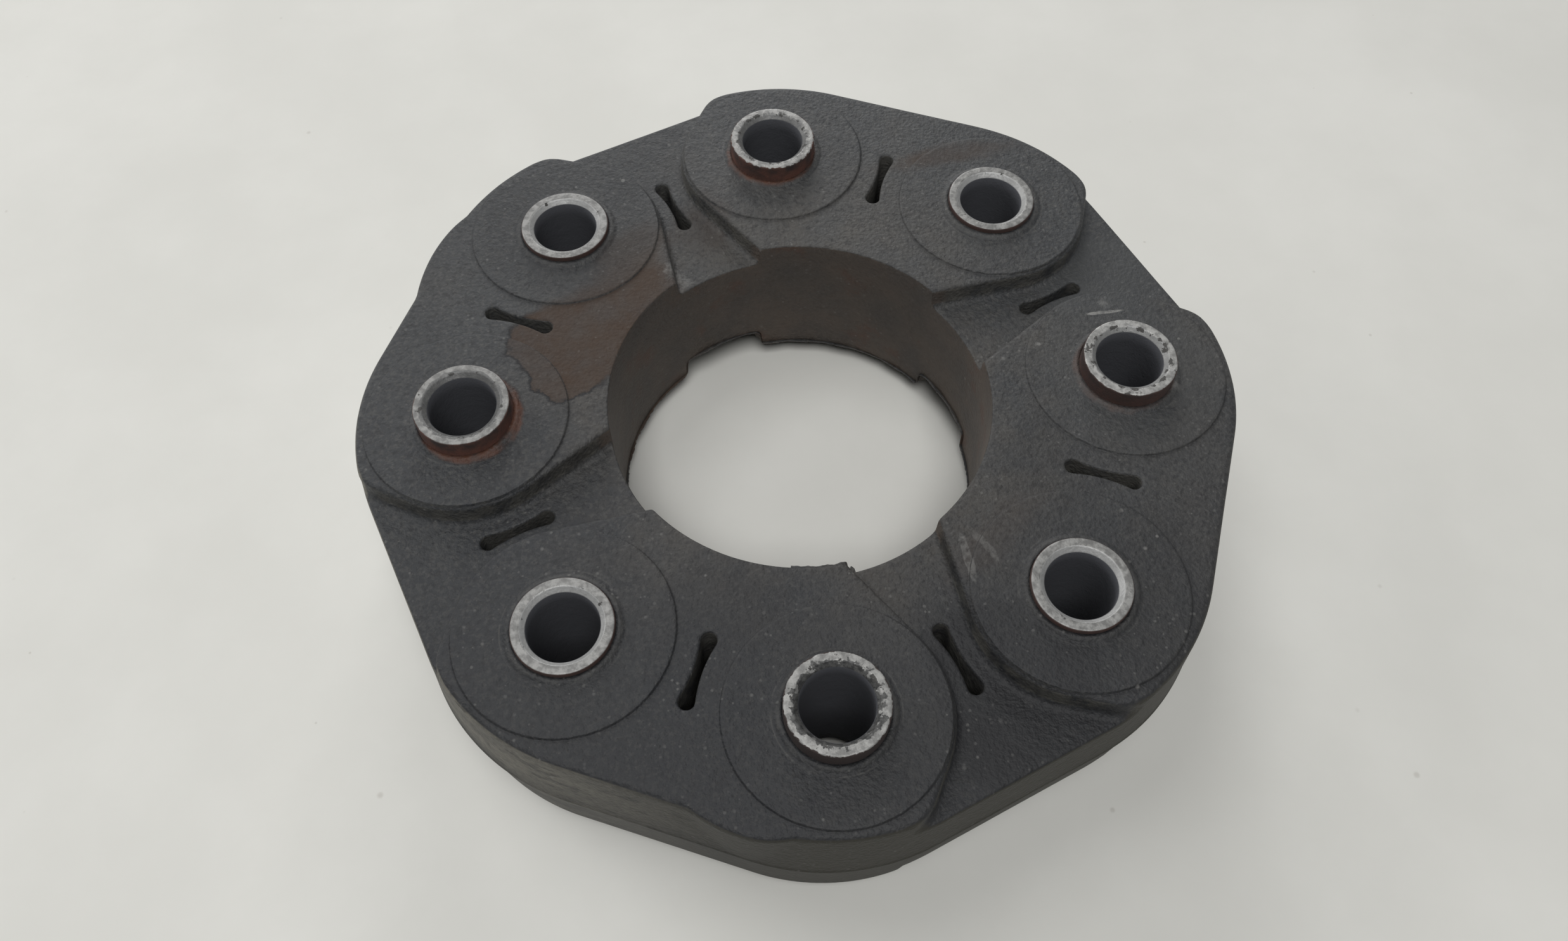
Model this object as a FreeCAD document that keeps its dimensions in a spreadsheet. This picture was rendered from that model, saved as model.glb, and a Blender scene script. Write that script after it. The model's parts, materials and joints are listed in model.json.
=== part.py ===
# Flexible disc coupling for a driveshaft, in millimetres.
# Eight steel bolt sleeves stand on one bolt circle in a moulded rubber body. Cord loops, wound round
# each pair of neighbouring sleeves and buried in the rubber, carry the pull from one flange's bolts
# to the other's. Every second sleeve stands proud on the upper side, the others on the lower side.
# Frame: origin at the disc's centre on the mould's parting plane, +Z up, +X through a sleeve.
import FreeCAD
import Part
import os
from math import atan2, cos, degrees, radians, sin, tan
import Sketcher
from FreeCAD import Placement, Rotation, Vector

SLEEVES = 8
STEP = 360.0 / SLEEVES
HALF_STEP = STEP / 2
UP = Vector(0, 0, 1)
SAME = 1e-9  # two worked-out numbers this close are one number
TOUCH = 1e-3  # two places or directions of the finished solid this close are one

SIZES = [
    ("pitch_radius", 60.0, "bolt circle's radius"),
    ("sleeve_bore", 12.1, "clearance for an M12 bolt"),
    ("sleeve_wall", 2.45, "sleeve's wall"),
    ("flush_reach", 1.0, "how far a sleeve stands out of its lip on its flush side"),
    ("proud_reach", 3.5, "how far a sleeve stands out of its lip on its proud side"),
    ("bore_chamfer", 0.9, "chamfer at the mouths of the bore"),
    ("rim_round", 0.35, "rounding of the sleeve's outer rims"),
    ("corner_spread", 21.8, "how much larger the outline's corner radius is than a raised disc's"),
    ("mould_draft", 4.5, "draft of the outer wall, degrees"),
    ("edge_round", 1.15, "rounding of the outer edges"),
    ("rim_ledge", 0.5, "level ledge between a raised disc and the rounded outer edge"),
    ("hole_cover", 7.15, "rubber between the cord loops and the central hole"),
    ("recess_level", 11.05, "height of the recess floor above the parting plane"),
    ("recess_depth", 4.3, "height of the lobes' face above the recess floor"),
    ("recess_ledge", 0.65, "level ledge between a raised disc and the recess wall"),
    ("recess_inner_flare", 14.0, "wall's slant towards the hole, degrees"),
    ("recess_outer_flare", 50.0, "wall's slant towards the outline, degrees"),
    ("recess_exit", 10.0, "angle between the wall past a lobe's corner and the outline's flat, degrees"),
    ("lobe_corner", 8.0, "plan radius of a lobe's corner, between the two outer slants"),
    ("lobe_shoulder", 2.7, "level ledge between a raised disc and the wall past the lobe's corner"),
    ("recess_foot", 1.4, "fillet at the foot of the recess walls"),
    ("boss_space", 9.5, "web between two neighbouring raised discs"),
    ("boss_height", 0.4, "raised disc's height over the lobe"),
    ("lip_foot_width", 1.4, "width of the rubber lip round a sleeve, at its foot"),
    ("lip_crown_width", 0.8, "width of the rubber lip round a sleeve, at its top"),
    ("lip_height", 0.5, "lip's height over the raised disc"),
    ("slot_waist", 1.9, "width of a slot at its waist"),
    ("slot_end", 1.55, "radius of a slot's ends"),
    ("cord_band", 5.0, "thickness of a cord loop, square to the sleeve"),
    ("cord_round", 1.6, "rounding of a cord loop's section"),
    ("lobe_cover", 2.55, "rubber over the outer loops, under the lobes' face"),
    ("recess_cover", 5.25, "rubber over the middle loops, under the recess floor"),
    ("loop_gap", 0.8, "rubber between two loops on one sleeve"),
    ("long_pad_reach", 1.8, "how far the wide bare pad stands out at its top"),
    ("long_pad_round", 33.0, "plan radius of the wide bare pad"),
    ("long_pad_turn", 150.0, "direction of the wide bare pad, degrees"),
    ("short_pad_reach", 1.5, "how far the narrow bare pad stands out at its top"),
    ("short_pad_round", 24.0, "plan radius of the narrow bare pad"),
    ("short_pad_turn", 258.0, "direction of the narrow bare pad, degrees"),
    ("pad_root", 3.0, "depth of a bare pad's root in the wall"),
]

doc = FreeCAD.newDocument("coupling")
sheet = doc.addObject("Spreadsheet::Sheet", "sizes")
for row, (alias, value, meaning) in enumerate(SIZES, start=1):
    sheet.set("A%d" % row, meaning)
    sheet.set("B%d" % row, str(value))
    sheet.setAlias("B%d" % row, alias)
doc.recompute()


derived = {}


def size(name):
    """Value of one cell of the sheet, or of a size worked out from the cells."""
    if name in derived:
        return derived[name][0]
    return float(sheet.get(name))


def cell(name):
    """The same size as an expression."""
    if name in derived:
        return derived[name][1]
    return "sizes." + name


def work_out(name, **shares):
    """Adds a worked-out size: the sum of other sizes, each times its share."""
    total = sum(share * size(part) for part, share in shares.items())
    words = ["%.12g * %s" % (share, cell(part)) for part, share in shares.items()]
    derived[name] = (total, "(%s)" % " + ".join(words))


half_cos = cos(radians(HALF_STEP))
half_sin = sin(radians(HALF_STEP))

# Plan: a pair of neighbouring sleeves, what is wound round them and what is laid over them.
work_out("pair_x", pitch_radius=half_cos)
work_out("pair_y", pitch_radius=half_sin)
work_out("bore_radius", sleeve_bore=0.5)
work_out("sleeve_radius", bore_radius=1, sleeve_wall=1)
work_out("loop_radius", sleeve_radius=1, cord_band=1)
work_out("hole_radius", pair_x=1, loop_radius=-1, hole_cover=-1)
work_out("boss_radius", pair_y=1, boss_space=-0.5)
work_out("recess_wall", boss_radius=1, recess_ledge=1)
work_out("exit_wall", boss_radius=1, lobe_shoulder=1)
work_out("lip_foot", sleeve_radius=1, lip_foot_width=1)
work_out("lip_crown", sleeve_radius=1, lip_crown_width=1)

# Heights above the parting plane.
work_out("lobe_level", recess_level=1, recess_depth=1)
work_out("disc_level", lobe_level=1, boss_height=1)
work_out("lip_level", disc_level=1, lip_height=1)
work_out("sleeve_end", lip_level=1, flush_reach=0.5, proud_reach=0.5)
work_out("sleeve_shift", proud_reach=0.5, flush_reach=-0.5)
work_out("middle_loop_top", recess_level=1, recess_cover=-1)
work_out("middle_loop_height", middle_loop_top=2)
work_out("outer_loop_height", lobe_level=1, lobe_cover=-1, middle_loop_top=-1, loop_gap=-1)
work_out("outer_loop_level", middle_loop_top=1, loop_gap=1, outer_loop_height=0.5)

# Outline at the parting plane: its corners wrap round the raised discs and clear them at the lobes' face.
work_out("corner_round", boss_radius=1, corner_spread=1)
derived["draft_run"] = (size("lobe_level") * tan(radians(size("mould_draft"))),
                        "%s * tan(sizes.mould_draft * 1 deg)" % cell("lobe_level"))
work_out("corner_reach", pitch_radius=1, boss_radius=1, rim_ledge=1, edge_round=1, draft_run=1)
work_out("corner_centre", corner_reach=1, corner_round=-1)
work_out("apothem", corner_centre=half_cos, corner_round=1)


def new_sketch(body, name, role="XY_Plane", turn=0.0):
    """Sketch on one of the body's own origin planes, turned about the plane's normal."""
    plane = [f for f in body.Origin.OriginFeatures if f.Role == role][0]
    sketch = body.newObject("Sketcher::SketchObject", name)
    sketch.AttachmentSupport = [(plane, "")]
    sketch.MapMode = "FlatFace"
    sketch.AttachmentOffset = Placement(Vector(0, 0, 0), Rotation(UP, turn))
    return sketch


def bind(sketch, kind, references, start, expression):
    """Adds a constraint whose value comes from the sheet."""
    name = "c%d" % sketch.ConstraintCount
    index = sketch.addConstraint(Sketcher.Constraint(kind, *references, start))
    sketch.renameConstraint(index, name)
    sketch.setExpression("Constraints." + name, expression)


def add_arc(sketch, centre, radius, start, end, radius_cell):
    """Arc with its radius bound, from one angle to another in degrees."""
    circle = Part.Circle(Vector(centre[0], centre[1], 0), UP, radius)
    index = sketch.addGeometry(Part.ArcOfCircle(circle, radians(start), radians(end)), False)
    bind(sketch, "Radius", (index,), radius, radius_cell)
    return index


def add_line(sketch, start, end):
    """Straight line between two points of the sketch."""
    line = Part.LineSegment(Vector(start[0], start[1], 0), Vector(end[0], end[1], 0))
    return sketch.addGeometry(line, False)


def pin_centre(sketch, index, centre, across, along):
    """Binds the centre of an arc or circle to two expressions, or to an axis where it lies on one."""
    ways = (("DistanceX", centre[0], across, -2), ("DistanceY", centre[1], along, -1))
    for axis, value, text, line in ways:
        if abs(value) < SAME:
            sketch.addConstraint(Sketcher.Constraint("PointOnObject", index, 3, line))
        else:
            bind(sketch, axis, (index, 3), value, text)


def add_hull(sketch, centres, radius, radius_cell):
    """Closed outline of equal arcs round the given centres, joined by their outer tangents.

    Each centre is (x, y, x expression, y expression), in anticlockwise order."""
    count = len(centres)
    headings = []
    for i in range(count):
        here = centres[i]
        ahead = centres[(i + 1) % count]
        headings.append(degrees(atan2(ahead[1] - here[1], ahead[0] - here[0])))
    arcs = []
    for i in range(count):
        start = headings[i - 1] - 90
        end = headings[i] - 90
        while end < start:
            end += 360
        arc = add_arc(sketch, centres[i], radius, start, end, radius_cell)
        pin_centre(sketch, arc, centres[i][:2], centres[i][2], centres[i][3])
        arcs.append(arc)
    for i in range(count):
        out = radians(headings[i] - 90)
        shift = (radius * cos(out), radius * sin(out))
        ends = []
        for x, y, _, _ in (centres[i], centres[(i + 1) % count]):
            ends.append((x + shift[0], y + shift[1]))
        line = add_line(sketch, *ends)
        sketch.addConstraint(Sketcher.Constraint("Tangent", arcs[i], 2, line, 1))
        sketch.addConstraint(Sketcher.Constraint("Tangent", line, 2, arcs[(i + 1) % count], 1))


def add_section(sketch, points):
    """Closed section of level and upright lines, with a slanted line wherever both coordinates change.

    Each point is (x, y, x expression, y expression); an x of 0 lies on the sketch's upright axis."""
    count = len(points)
    lines = [add_line(sketch, points[i], points[(i + 1) % count]) for i in range(count)]
    for i in range(count):
        sketch.addConstraint(Sketcher.Constraint("Coincident", lines[i], 2, lines[(i + 1) % count], 1))
    for i in range(count):
        here = points[i]
        before = points[i - 1]
        level = abs(here[1] - before[1]) < SAME
        upright = abs(here[0] - before[0]) < SAME
        if level and i > 0:
            sketch.addConstraint(Sketcher.Constraint("Horizontal", lines[i - 1]))
        else:
            bind(sketch, "DistanceY", (lines[i], 1), here[1], here[3])
        if upright and i > 0:
            sketch.addConstraint(Sketcher.Constraint("Vertical", lines[i - 1]))
        elif abs(here[0]) < SAME:
            sketch.addConstraint(Sketcher.Constraint("PointOnObject", lines[i], 1, -2))
        else:
            bind(sketch, "DistanceX", (lines[i], 1), here[0], here[2])


def feature(body, kind, name, sketch=None):
    """New feature of a body, made from a sketch where one is given."""
    made = body.newObject(kind, name)
    if sketch is not None:
        made.Profile = sketch
        sketch.Visibility = False
    return made


def cut_through(body, name, sketch):
    """Pocket that cuts the sketch through the whole body, both ways."""
    pocket = feature(body, "PartDesign::Pocket", name, sketch)
    pocket.SideType = "Symmetric"
    pocket.Type = "ThroughAll"
    return pocket


def turn_round(body, name, count, original=None):
    """Pattern about the body's upright axis, of one feature or of the whole body, which then ends in it."""
    pattern = body.newObject("PartDesign::PolarPattern", name)
    if original is None:
        pattern.TransformMode = "Whole shape"
    else:
        pattern.Originals = [original]
    pattern.Axis = ([f for f in body.Origin.OriginFeatures if f.Role == "Z_Axis"][0], [""])
    pattern.Angle = 360
    pattern.Occurrences = count
    body.Tip = pattern


def edge_names(shape, wanted):
    """Names of the edges that pass a test."""
    return ["Edge%d" % i for i, edge in enumerate(shape.Edges, start=1) if wanted(edge)]


def lies_at(edge, height):
    """Whether the whole edge lies at one height."""
    box = edge.BoundBox
    return abs(box.ZMin - height) < TOUCH and abs(box.ZMax - height) < TOUCH


def round_edges(body, name, base, wanted, radius):
    """Fillet on the base feature's edges that pass a test, with its radius bound."""
    fillet = body.newObject("PartDesign::Fillet", name)
    fillet.Base = (base, edge_names(base.Shape, wanted))
    fillet.setExpression("Radius", "sizes." + radius)
    doc.recompute()
    return fillet


def outline_sketch(body):
    """Rounded octagon at the parting plane; its corners stand over the sleeves."""
    sketch = new_sketch(body, "outline")
    centre = size("corner_centre")
    centres = []
    for i in range(SLEEVES):
        turn = STEP * i
        spot = (centre * cos(radians(turn)), centre * sin(radians(turn)))
        words = ["%s * %s(%g deg)" % (cell("corner_centre"), f, turn) for f in ("cos", "sin")]
        centres.append((spot[0], spot[1], words[0], words[1]))
    add_hull(sketch, centres, size("corner_round"), cell("corner_round"))
    return sketch


def along(spot, heading, run):
    """Place reached from a spot by a run in one direction, in degrees."""
    return (spot[0] + run * cos(radians(heading)), spot[1] + run * sin(radians(heading)))


def recess_side(sketch, side):
    """One side wall of the recess, on the left or right (1 or -1) of the sketch's X axis.

    From the hole it runs straight, wraps round a sleeve, opens out, and turns round the lobe's corner.
    It gives the lines at the hole and beyond the outline, each with its free end."""
    sign = "" if side > 0 else "-"
    wall = size("recess_wall")
    inner = size("recess_inner_flare")
    outer = size("recess_outer_flare")
    leave = 90 - size("recess_exit")
    corner = size("lobe_corner")
    sleeve = (size("pair_x"), side * size("pair_y"))
    near = size("hole_radius") / 2
    far = size("corner_reach")

    first = along(sleeve, -side * (90 + inner), wall)
    last = along(sleeve, -side * (90 - outer), wall)
    inner_end = (near, first[1] + side * (first[0] - near) * tan(radians(inner)))
    bend = radians(leave - outer)
    gap = size("exit_wall") - wall * cos(bend)
    vertex = along(last, side * outer, gap / sin(bend))
    trim = corner * tan(bend / 2)
    corner_start = along(vertex, side * outer, -trim)
    corner_end = along(vertex, side * leave, trim)
    corner_spot = along(corner_start, side * (outer + 90), corner)
    exit_end = (far, corner_end[1] + side * (far - corner_end[0]) * tan(radians(leave)))
    out_end = (far + corner, exit_end[1])

    low, high = sorted((-side * (90 + inner), -side * (90 - outer)))
    wrap = add_arc(sketch, sleeve, wall, low, high, cell("recess_wall"))
    pin_centre(sketch, wrap, sleeve, cell("pair_x"), sign + cell("pair_y"))
    low, high = sorted((-side * (90 - outer), -side * (90 - leave)))
    turn = add_arc(sketch, corner_spot, corner, low, high, "sizes.lobe_corner")
    inner_line = add_line(sketch, first, inner_end)
    outer_line = add_line(sketch, last, corner_start)
    exit_line = add_line(sketch, corner_end, exit_end)
    out_line = add_line(sketch, exit_end, out_end)
    begin, finish = (1, 2) if side > 0 else (2, 1)
    sketch.addConstraint(Sketcher.Constraint("Tangent", wrap, begin, inner_line, 1))
    sketch.addConstraint(Sketcher.Constraint("Tangent", wrap, finish, outer_line, 1))
    sketch.addConstraint(Sketcher.Constraint("Tangent", outer_line, 2, turn, begin))
    sketch.addConstraint(Sketcher.Constraint("Tangent", turn, finish, exit_line, 1))
    bind(sketch, "Angle", (inner_line,), radians(side * (180 - inner)),
         "%s(180 - sizes.recess_inner_flare)" % sign)
    bind(sketch, "Angle", (outer_line,), radians(side * outer), "%ssizes.recess_outer_flare" % sign)
    bind(sketch, "Angle", (exit_line,), radians(side * leave), "%s(90 - sizes.recess_exit)" % sign)
    bind(sketch, "Distance", (wrap, 3, exit_line), size("exit_wall"), cell("exit_wall"))
    sketch.addConstraint(Sketcher.Constraint("Coincident", exit_line, 2, out_line, 1))
    sketch.addConstraint(Sketcher.Constraint("Horizontal", out_line))
    bind(sketch, "DistanceX", (out_line, 1), far, cell("corner_reach"))
    return (inner_line, inner_end), (out_line, out_end)


def recess_sketch(body):
    """Plan of one recess: waisted between two sleeves, open to the hole and to the outline."""
    sketch = new_sketch(body, "recess_plan", turn=HALF_STEP)
    sketch.setExpression("AttachmentOffset.Base.z", "sizes.recess_level")
    upper = recess_side(sketch, 1)
    lower = recess_side(sketch, -1)
    reaches = (cell("hole_radius") + " / 2", cell("corner_reach") + " + sizes.lobe_corner")
    for (left, left_end), (right, right_end), reach in zip(upper, lower, reaches):
        line = add_line(sketch, left_end, right_end)
        sketch.addConstraint(Sketcher.Constraint("Coincident", left, 2, line, 1))
        sketch.addConstraint(Sketcher.Constraint("Coincident", line, 2, right, 2))
        sketch.addConstraint(Sketcher.Constraint("Vertical", line))
        bind(sketch, "DistanceX", (line, 1), left_end[0], reach)
    return sketch


def slot_sketch(body):
    """Plan of one waisted slot between two sleeves: round ends joined by arcs about the sleeves."""
    sketch = new_sketch(body, "slot_plan", turn=HALF_STEP)
    end = size("slot_end")
    pair_x = size("pair_x")
    pair_y = size("pair_y")
    side_radius = pair_y - size("slot_waist") / 2
    run = ((side_radius + end) ** 2 - pair_y ** 2) ** 0.5
    lean = degrees(atan2(pair_y, run))
    inner = add_arc(sketch, (pair_x - run, 0), end, lean, 360 - lean, "sizes.slot_end")
    outer = add_arc(sketch, (pair_x + run, 0), end, lean - 180, 180 - lean, "sizes.slot_end")
    radius_cell = cell("pair_y") + " - sizes.slot_waist / 2"
    over = add_arc(sketch, (pair_x, pair_y), side_radius, 180 + lean, 360 - lean, radius_cell)
    under = add_arc(sketch, (pair_x, -pair_y), side_radius, lean, 180 - lean, radius_cell)
    pin_centre(sketch, over, (pair_x, pair_y), cell("pair_x"), cell("pair_y"))
    pin_centre(sketch, under, (pair_x, -pair_y), cell("pair_x"), "-" + cell("pair_y"))
    sketch.addConstraint(Sketcher.Constraint("Tangent", inner, 1, over, 1))
    sketch.addConstraint(Sketcher.Constraint("Tangent", over, 2, outer, 2))
    sketch.addConstraint(Sketcher.Constraint("Tangent", outer, 1, under, 1))
    sketch.addConstraint(Sketcher.Constraint("Tangent", under, 2, inner, 2))
    return sketch


def boss_sketch(body):
    """Half-section, about a sleeve's axis, of the raised disc and of the lip that hugs the sleeve."""
    sketch = new_sketch(body, "boss_section", role="XZ_Plane")
    sketch.setExpression("AttachmentOffset.Base.x", "sizes.pitch_radius")
    corners = [
        ("", "recess_level"),
        ("boss_radius", "recess_level"),
        ("boss_radius", "disc_level"),
        ("lip_foot", "disc_level"),
        ("lip_crown", "lip_level"),
        ("", "lip_level"),
    ]
    points = []
    for reach, level in corners:
        spot = (size(reach), cell(reach)) if reach else (0, "")
        points.append((spot[0], size(level), spot[1], cell(level)))
    add_section(sketch, points)
    return sketch


def circle_sketch(body, name, spot, expression, radius):
    """One circle on the X axis, or on the origin where its place is 0."""
    sketch = new_sketch(body, name)
    circle = sketch.addGeometry(Part.Circle(Vector(spot, 0, 0), UP, size(radius)), False)
    bind(sketch, "Radius", (circle,), size(radius), cell(radius))
    pin_centre(sketch, circle, (spot, 0), expression, "")
    return sketch


def add_pad(body, which):
    """Low bare swelling of the outer wall: flush at the parting plane, standing out at the lobe's face."""
    reach_cell = "sizes.%s_pad_reach" % which
    round_cell = "sizes.%s_pad_round" % which
    sketch = new_sketch(body, which + "_pad_plan", turn=size(which + "_pad_turn"))
    sketch.setExpression("AttachmentOffset.Rotation.Angle", "sizes.%s_pad_turn" % which)
    radius = size(which + "_pad_round")
    apothem = size("apothem")
    chord = apothem - size("pad_root")
    centre = apothem - radius
    lean = degrees(atan2((radius ** 2 - (chord - centre) ** 2) ** 0.5, chord - centre))
    arc = add_arc(sketch, (centre, 0), radius, -lean, lean, round_cell)
    pin_centre(sketch, arc, (centre, 0), cell("apothem") + " - " + round_cell, "")
    half = radius * sin(radians(lean))
    line = add_line(sketch, (chord, half), (chord, -half))
    sketch.addConstraint(Sketcher.Constraint("Coincident", arc, 2, line, 1))
    sketch.addConstraint(Sketcher.Constraint("Coincident", line, 2, arc, 1))
    sketch.addConstraint(Sketcher.Constraint("Vertical", line))
    bind(sketch, "DistanceX", (line, 1), chord, cell("apothem") + " - sizes.pad_root")
    pad = feature(body, "PartDesign::Pad", which + "_pad", sketch)
    pad.setExpression("Length", cell("lobe_level"))
    lean_out = "atan(%s / %s)" % (reach_cell, cell("lobe_level"))
    pad.setExpression("TaperAngle", lean_out + " - sizes.mould_draft * 1 deg")
    doc.recompute()


def make_recess_tool():
    """The space of the four recesses, cut out of the body later: so it leaves the walls' rounded feet.

    The lines that close a recess's plan across its ray or along it lie outside the rubber and stay sharp."""
    body = doc.addObject("PartDesign::Body", "recess_space")
    space = feature(body, "PartDesign::Pad", "recess", recess_sketch(body))
    space.setExpression("Length", "2 * sizes.recess_depth")
    doc.recompute()
    floor = size("recess_level")
    ray = Vector(cos(radians(HALF_STEP)), sin(radians(HALF_STEP)), 0)

    def at_wall_foot(edge):
        if not lies_at(edge, floor):
            return False
        run = edge.Vertexes[-1].Point - edge.Vertexes[0].Point
        across = abs(run.dot(ray)) < TOUCH
        outward = abs(run.cross(ray).z) < TOUCH
        return not across and not outward

    round_edges(body, "recess_feet", space, at_wall_foot, "recess_foot")
    turn_round(body, "recess_ring", SLEEVES // 2)
    doc.recompute()
    return body


def make_rubber():
    """The moulded body before the cord loops are taken out of it."""
    body = doc.addObject("PartDesign::Body", "rubber_blank")

    block = feature(body, "PartDesign::Pad", "block", outline_sketch(body))
    block.setExpression("Length", cell("lobe_level"))
    block.setExpression("TaperAngle", "-sizes.mould_draft")
    doc.recompute()
    lobe = size("lobe_level")
    round_edges(body, "outer_edge", block, lambda e: lies_at(e, lobe), "edge_round")

    cut_through(body, "central_hole", circle_sketch(body, "hole_plan", 0, "", "hole_radius"))
    doc.recompute()

    recesses = body.newObject("PartDesign::Boolean", "recesses")
    recesses.Type = "Cut"
    recesses.Group = [make_recess_tool()]
    doc.recompute()

    boss = feature(body, "PartDesign::Revolution", "boss", boss_sketch(body))
    boss.ReferenceAxis = (boss.Profile[0], ["V_Axis"])
    boss.Angle = 360
    doc.recompute()
    turn_round(body, "bosses", SLEEVES, boss)
    doc.recompute()

    lower_half = body.newObject("PartDesign::Mirrored", "lower_half")
    lower_half.TransformMode = "Whole shape"
    lower_half.MirrorPlane = ([f for f in body.Origin.OriginFeatures if f.Role == "XY_Plane"][0], [""])
    body.Tip = lower_half
    doc.recompute()

    add_pad(body, "long")
    add_pad(body, "short")

    sleeve_hole = cut_through(body, "sleeve_hole",
                              circle_sketch(body, "sleeve_hole_plan", size("pitch_radius"),
                                            cell("pitch_radius"), "sleeve_radius"))
    doc.recompute()
    turn_round(body, "sleeve_holes", SLEEVES, sleeve_hole)
    slot = cut_through(body, "slot", slot_sketch(body))
    doc.recompute()
    turn_round(body, "slots", SLEEVES, slot)
    doc.recompute()
    return body


def make_sleeve(name, turn, side):
    """Turned steel sleeve: a tube with chamfered bore mouths, pushed up or down by the shift."""
    body = doc.addObject("PartDesign::Body", name)
    sketch = new_sketch(body, "section", role="XZ_Plane")
    inner = size("bore_radius")
    outer = size("sleeve_radius")
    end = size("sleeve_end")
    add_section(sketch, [
        (inner, -end, cell("bore_radius"), "-" + cell("sleeve_end")),
        (outer, -end, cell("sleeve_radius"), "-" + cell("sleeve_end")),
        (outer, end, cell("sleeve_radius"), cell("sleeve_end")),
        (inner, end, cell("bore_radius"), cell("sleeve_end")),
    ])
    tube = feature(body, "PartDesign::Revolution", "tube", sketch)
    tube.ReferenceAxis = (sketch, ["V_Axis"])
    tube.Angle = 360
    doc.recompute()

    def rim(radius):
        return lambda e: isinstance(e.Curve, Part.Circle) and abs(e.Curve.Radius - radius) < TOUCH

    mouths = body.newObject("PartDesign::Chamfer", "mouths")
    mouths.Base = (tube, edge_names(tube.Shape, rim(inner)))
    mouths.setExpression("Size", "sizes.bore_chamfer")
    doc.recompute()
    round_edges(body, "rims", mouths, rim(outer), "rim_round")
    body.setExpression("Placement.Base.x", "sizes.pitch_radius * cos(%g deg)" % turn)
    body.setExpression("Placement.Base.y", "sizes.pitch_radius * sin(%g deg)" % turn)
    body.setExpression("Placement.Base.z", ("" if side > 0 else "-") + cell("sleeve_shift"))
    return body


def make_loop(name, turn, height, level):
    """Cord wound round two neighbouring sleeves: a flat-sided ring with a rounded section."""
    body = doc.addObject("PartDesign::Body", name)
    sketch = new_sketch(body, "plan")
    pair_x = size("pair_x")
    pair_y = size("pair_y")
    centres = []
    for sign, y in (("-", -pair_y), ("", pair_y)):
        centres.append((pair_x, y, cell("pair_x"), sign + cell("pair_y")))
    add_hull(sketch, centres, size("sleeve_radius"), cell("sleeve_radius"))
    add_hull(sketch, centres, size("loop_radius"), cell("loop_radius"))
    band = feature(body, "PartDesign::Pad", "band", sketch)
    band.SideType = "Symmetric"
    band.setExpression("Length", cell(height))
    doc.recompute()
    half = size(height) / 2
    round_edges(body, "section_rounds", band, lambda e: lies_at(e, half) or lies_at(e, -half), "cord_round")
    body.Placement = Placement(Vector(0, 0, 0), Rotation(UP, turn))
    if level:
        body.setExpression("Placement.Base.z", level)
    return body


nodes = []
for i in range(SLEEVES):
    side = 1 if i % 2 == 0 else -1
    place = "upper" if side > 0 else "lower"
    nodes.append(make_sleeve("%s_sleeve_%d" % (place, i // 2 + 1), STEP * i, side))

above = cell("outer_loop_level")
loops = []
for i in range(SLEEVES // 2):
    recess_turn = HALF_STEP + 2 * STEP * i
    lobe_turn = recess_turn + STEP
    loops.append(make_loop("middle_cord_loop_%d" % (i + 1), recess_turn, "middle_loop_height", ""))
    loops.append(make_loop("upper_cord_loop_%d" % (i + 1), lobe_turn, "outer_loop_height", above))
    loops.append(make_loop("lower_cord_loop_%d" % (i + 1), lobe_turn, "outer_loop_height", "-" + above))
doc.recompute()
nodes += loops

windings = doc.addObject("Part::Compound", "windings")
windings.Links = loops
rubber = doc.addObject("Part::Cut", "rubber_body")
rubber.Base = make_rubber()
rubber.Tool = windings
nodes.append(rubber)
doc.recompute()

for item in doc.Objects:
    if "Invalid" in item.State or "Error" in item.State:
        raise RuntimeError("%s failed: %s" % (item.Name, item.State))
os.makedirs("parts", exist_ok=True)
for node in nodes:
    shape = node.Shape
    if shape.isNull() or not shape.isValid():
        raise RuntimeError(node.Label + " has no valid shape")
    print(node.Label, "solids", len(shape.Solids), "volume %.1f" % shape.Volume)
for node in nodes:
    node.Shape.exportStep("parts/%s.step" % node.Label)
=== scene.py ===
# Flexible disc coupling of a driveshaft, as it came off the car: rubber body, steel sleeves, cord loops.
# It lies on a pale floor on its lower sleeves. Places are in millimetres until a mesh is made of them.
import json
import math
import bpy
import numpy as np
from mathutils import Matrix, Vector, geometry, noise


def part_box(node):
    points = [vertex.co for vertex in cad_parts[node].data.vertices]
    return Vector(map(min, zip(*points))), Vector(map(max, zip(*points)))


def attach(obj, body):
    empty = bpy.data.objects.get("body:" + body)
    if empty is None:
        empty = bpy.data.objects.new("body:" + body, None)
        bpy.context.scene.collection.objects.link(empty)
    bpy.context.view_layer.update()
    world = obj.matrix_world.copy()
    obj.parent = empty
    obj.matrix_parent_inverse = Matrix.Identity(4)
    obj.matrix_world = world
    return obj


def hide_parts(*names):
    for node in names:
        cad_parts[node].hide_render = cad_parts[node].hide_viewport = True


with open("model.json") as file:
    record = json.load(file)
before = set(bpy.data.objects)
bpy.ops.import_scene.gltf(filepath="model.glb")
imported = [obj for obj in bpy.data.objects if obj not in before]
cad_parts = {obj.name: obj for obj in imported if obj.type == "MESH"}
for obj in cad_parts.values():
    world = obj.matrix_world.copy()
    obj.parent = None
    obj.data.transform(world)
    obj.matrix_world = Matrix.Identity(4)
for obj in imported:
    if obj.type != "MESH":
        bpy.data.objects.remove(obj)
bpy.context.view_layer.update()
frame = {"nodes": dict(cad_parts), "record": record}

# Rubber body, its shape.
# It is moulded in one piece round the sleeves and cord loops, so both faces are alike. One eighth of
# the upper face is laid out between the middle of a recess and the middle of a lobe, then repeated.
MM = 0.001
sleeve_low, sleeve_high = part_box("upper_sleeve_1")
rubber_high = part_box("rubber_body")[1]
pitch_mm = (sleeve_low.x + sleeve_high.x) / 2 / MM
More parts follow.
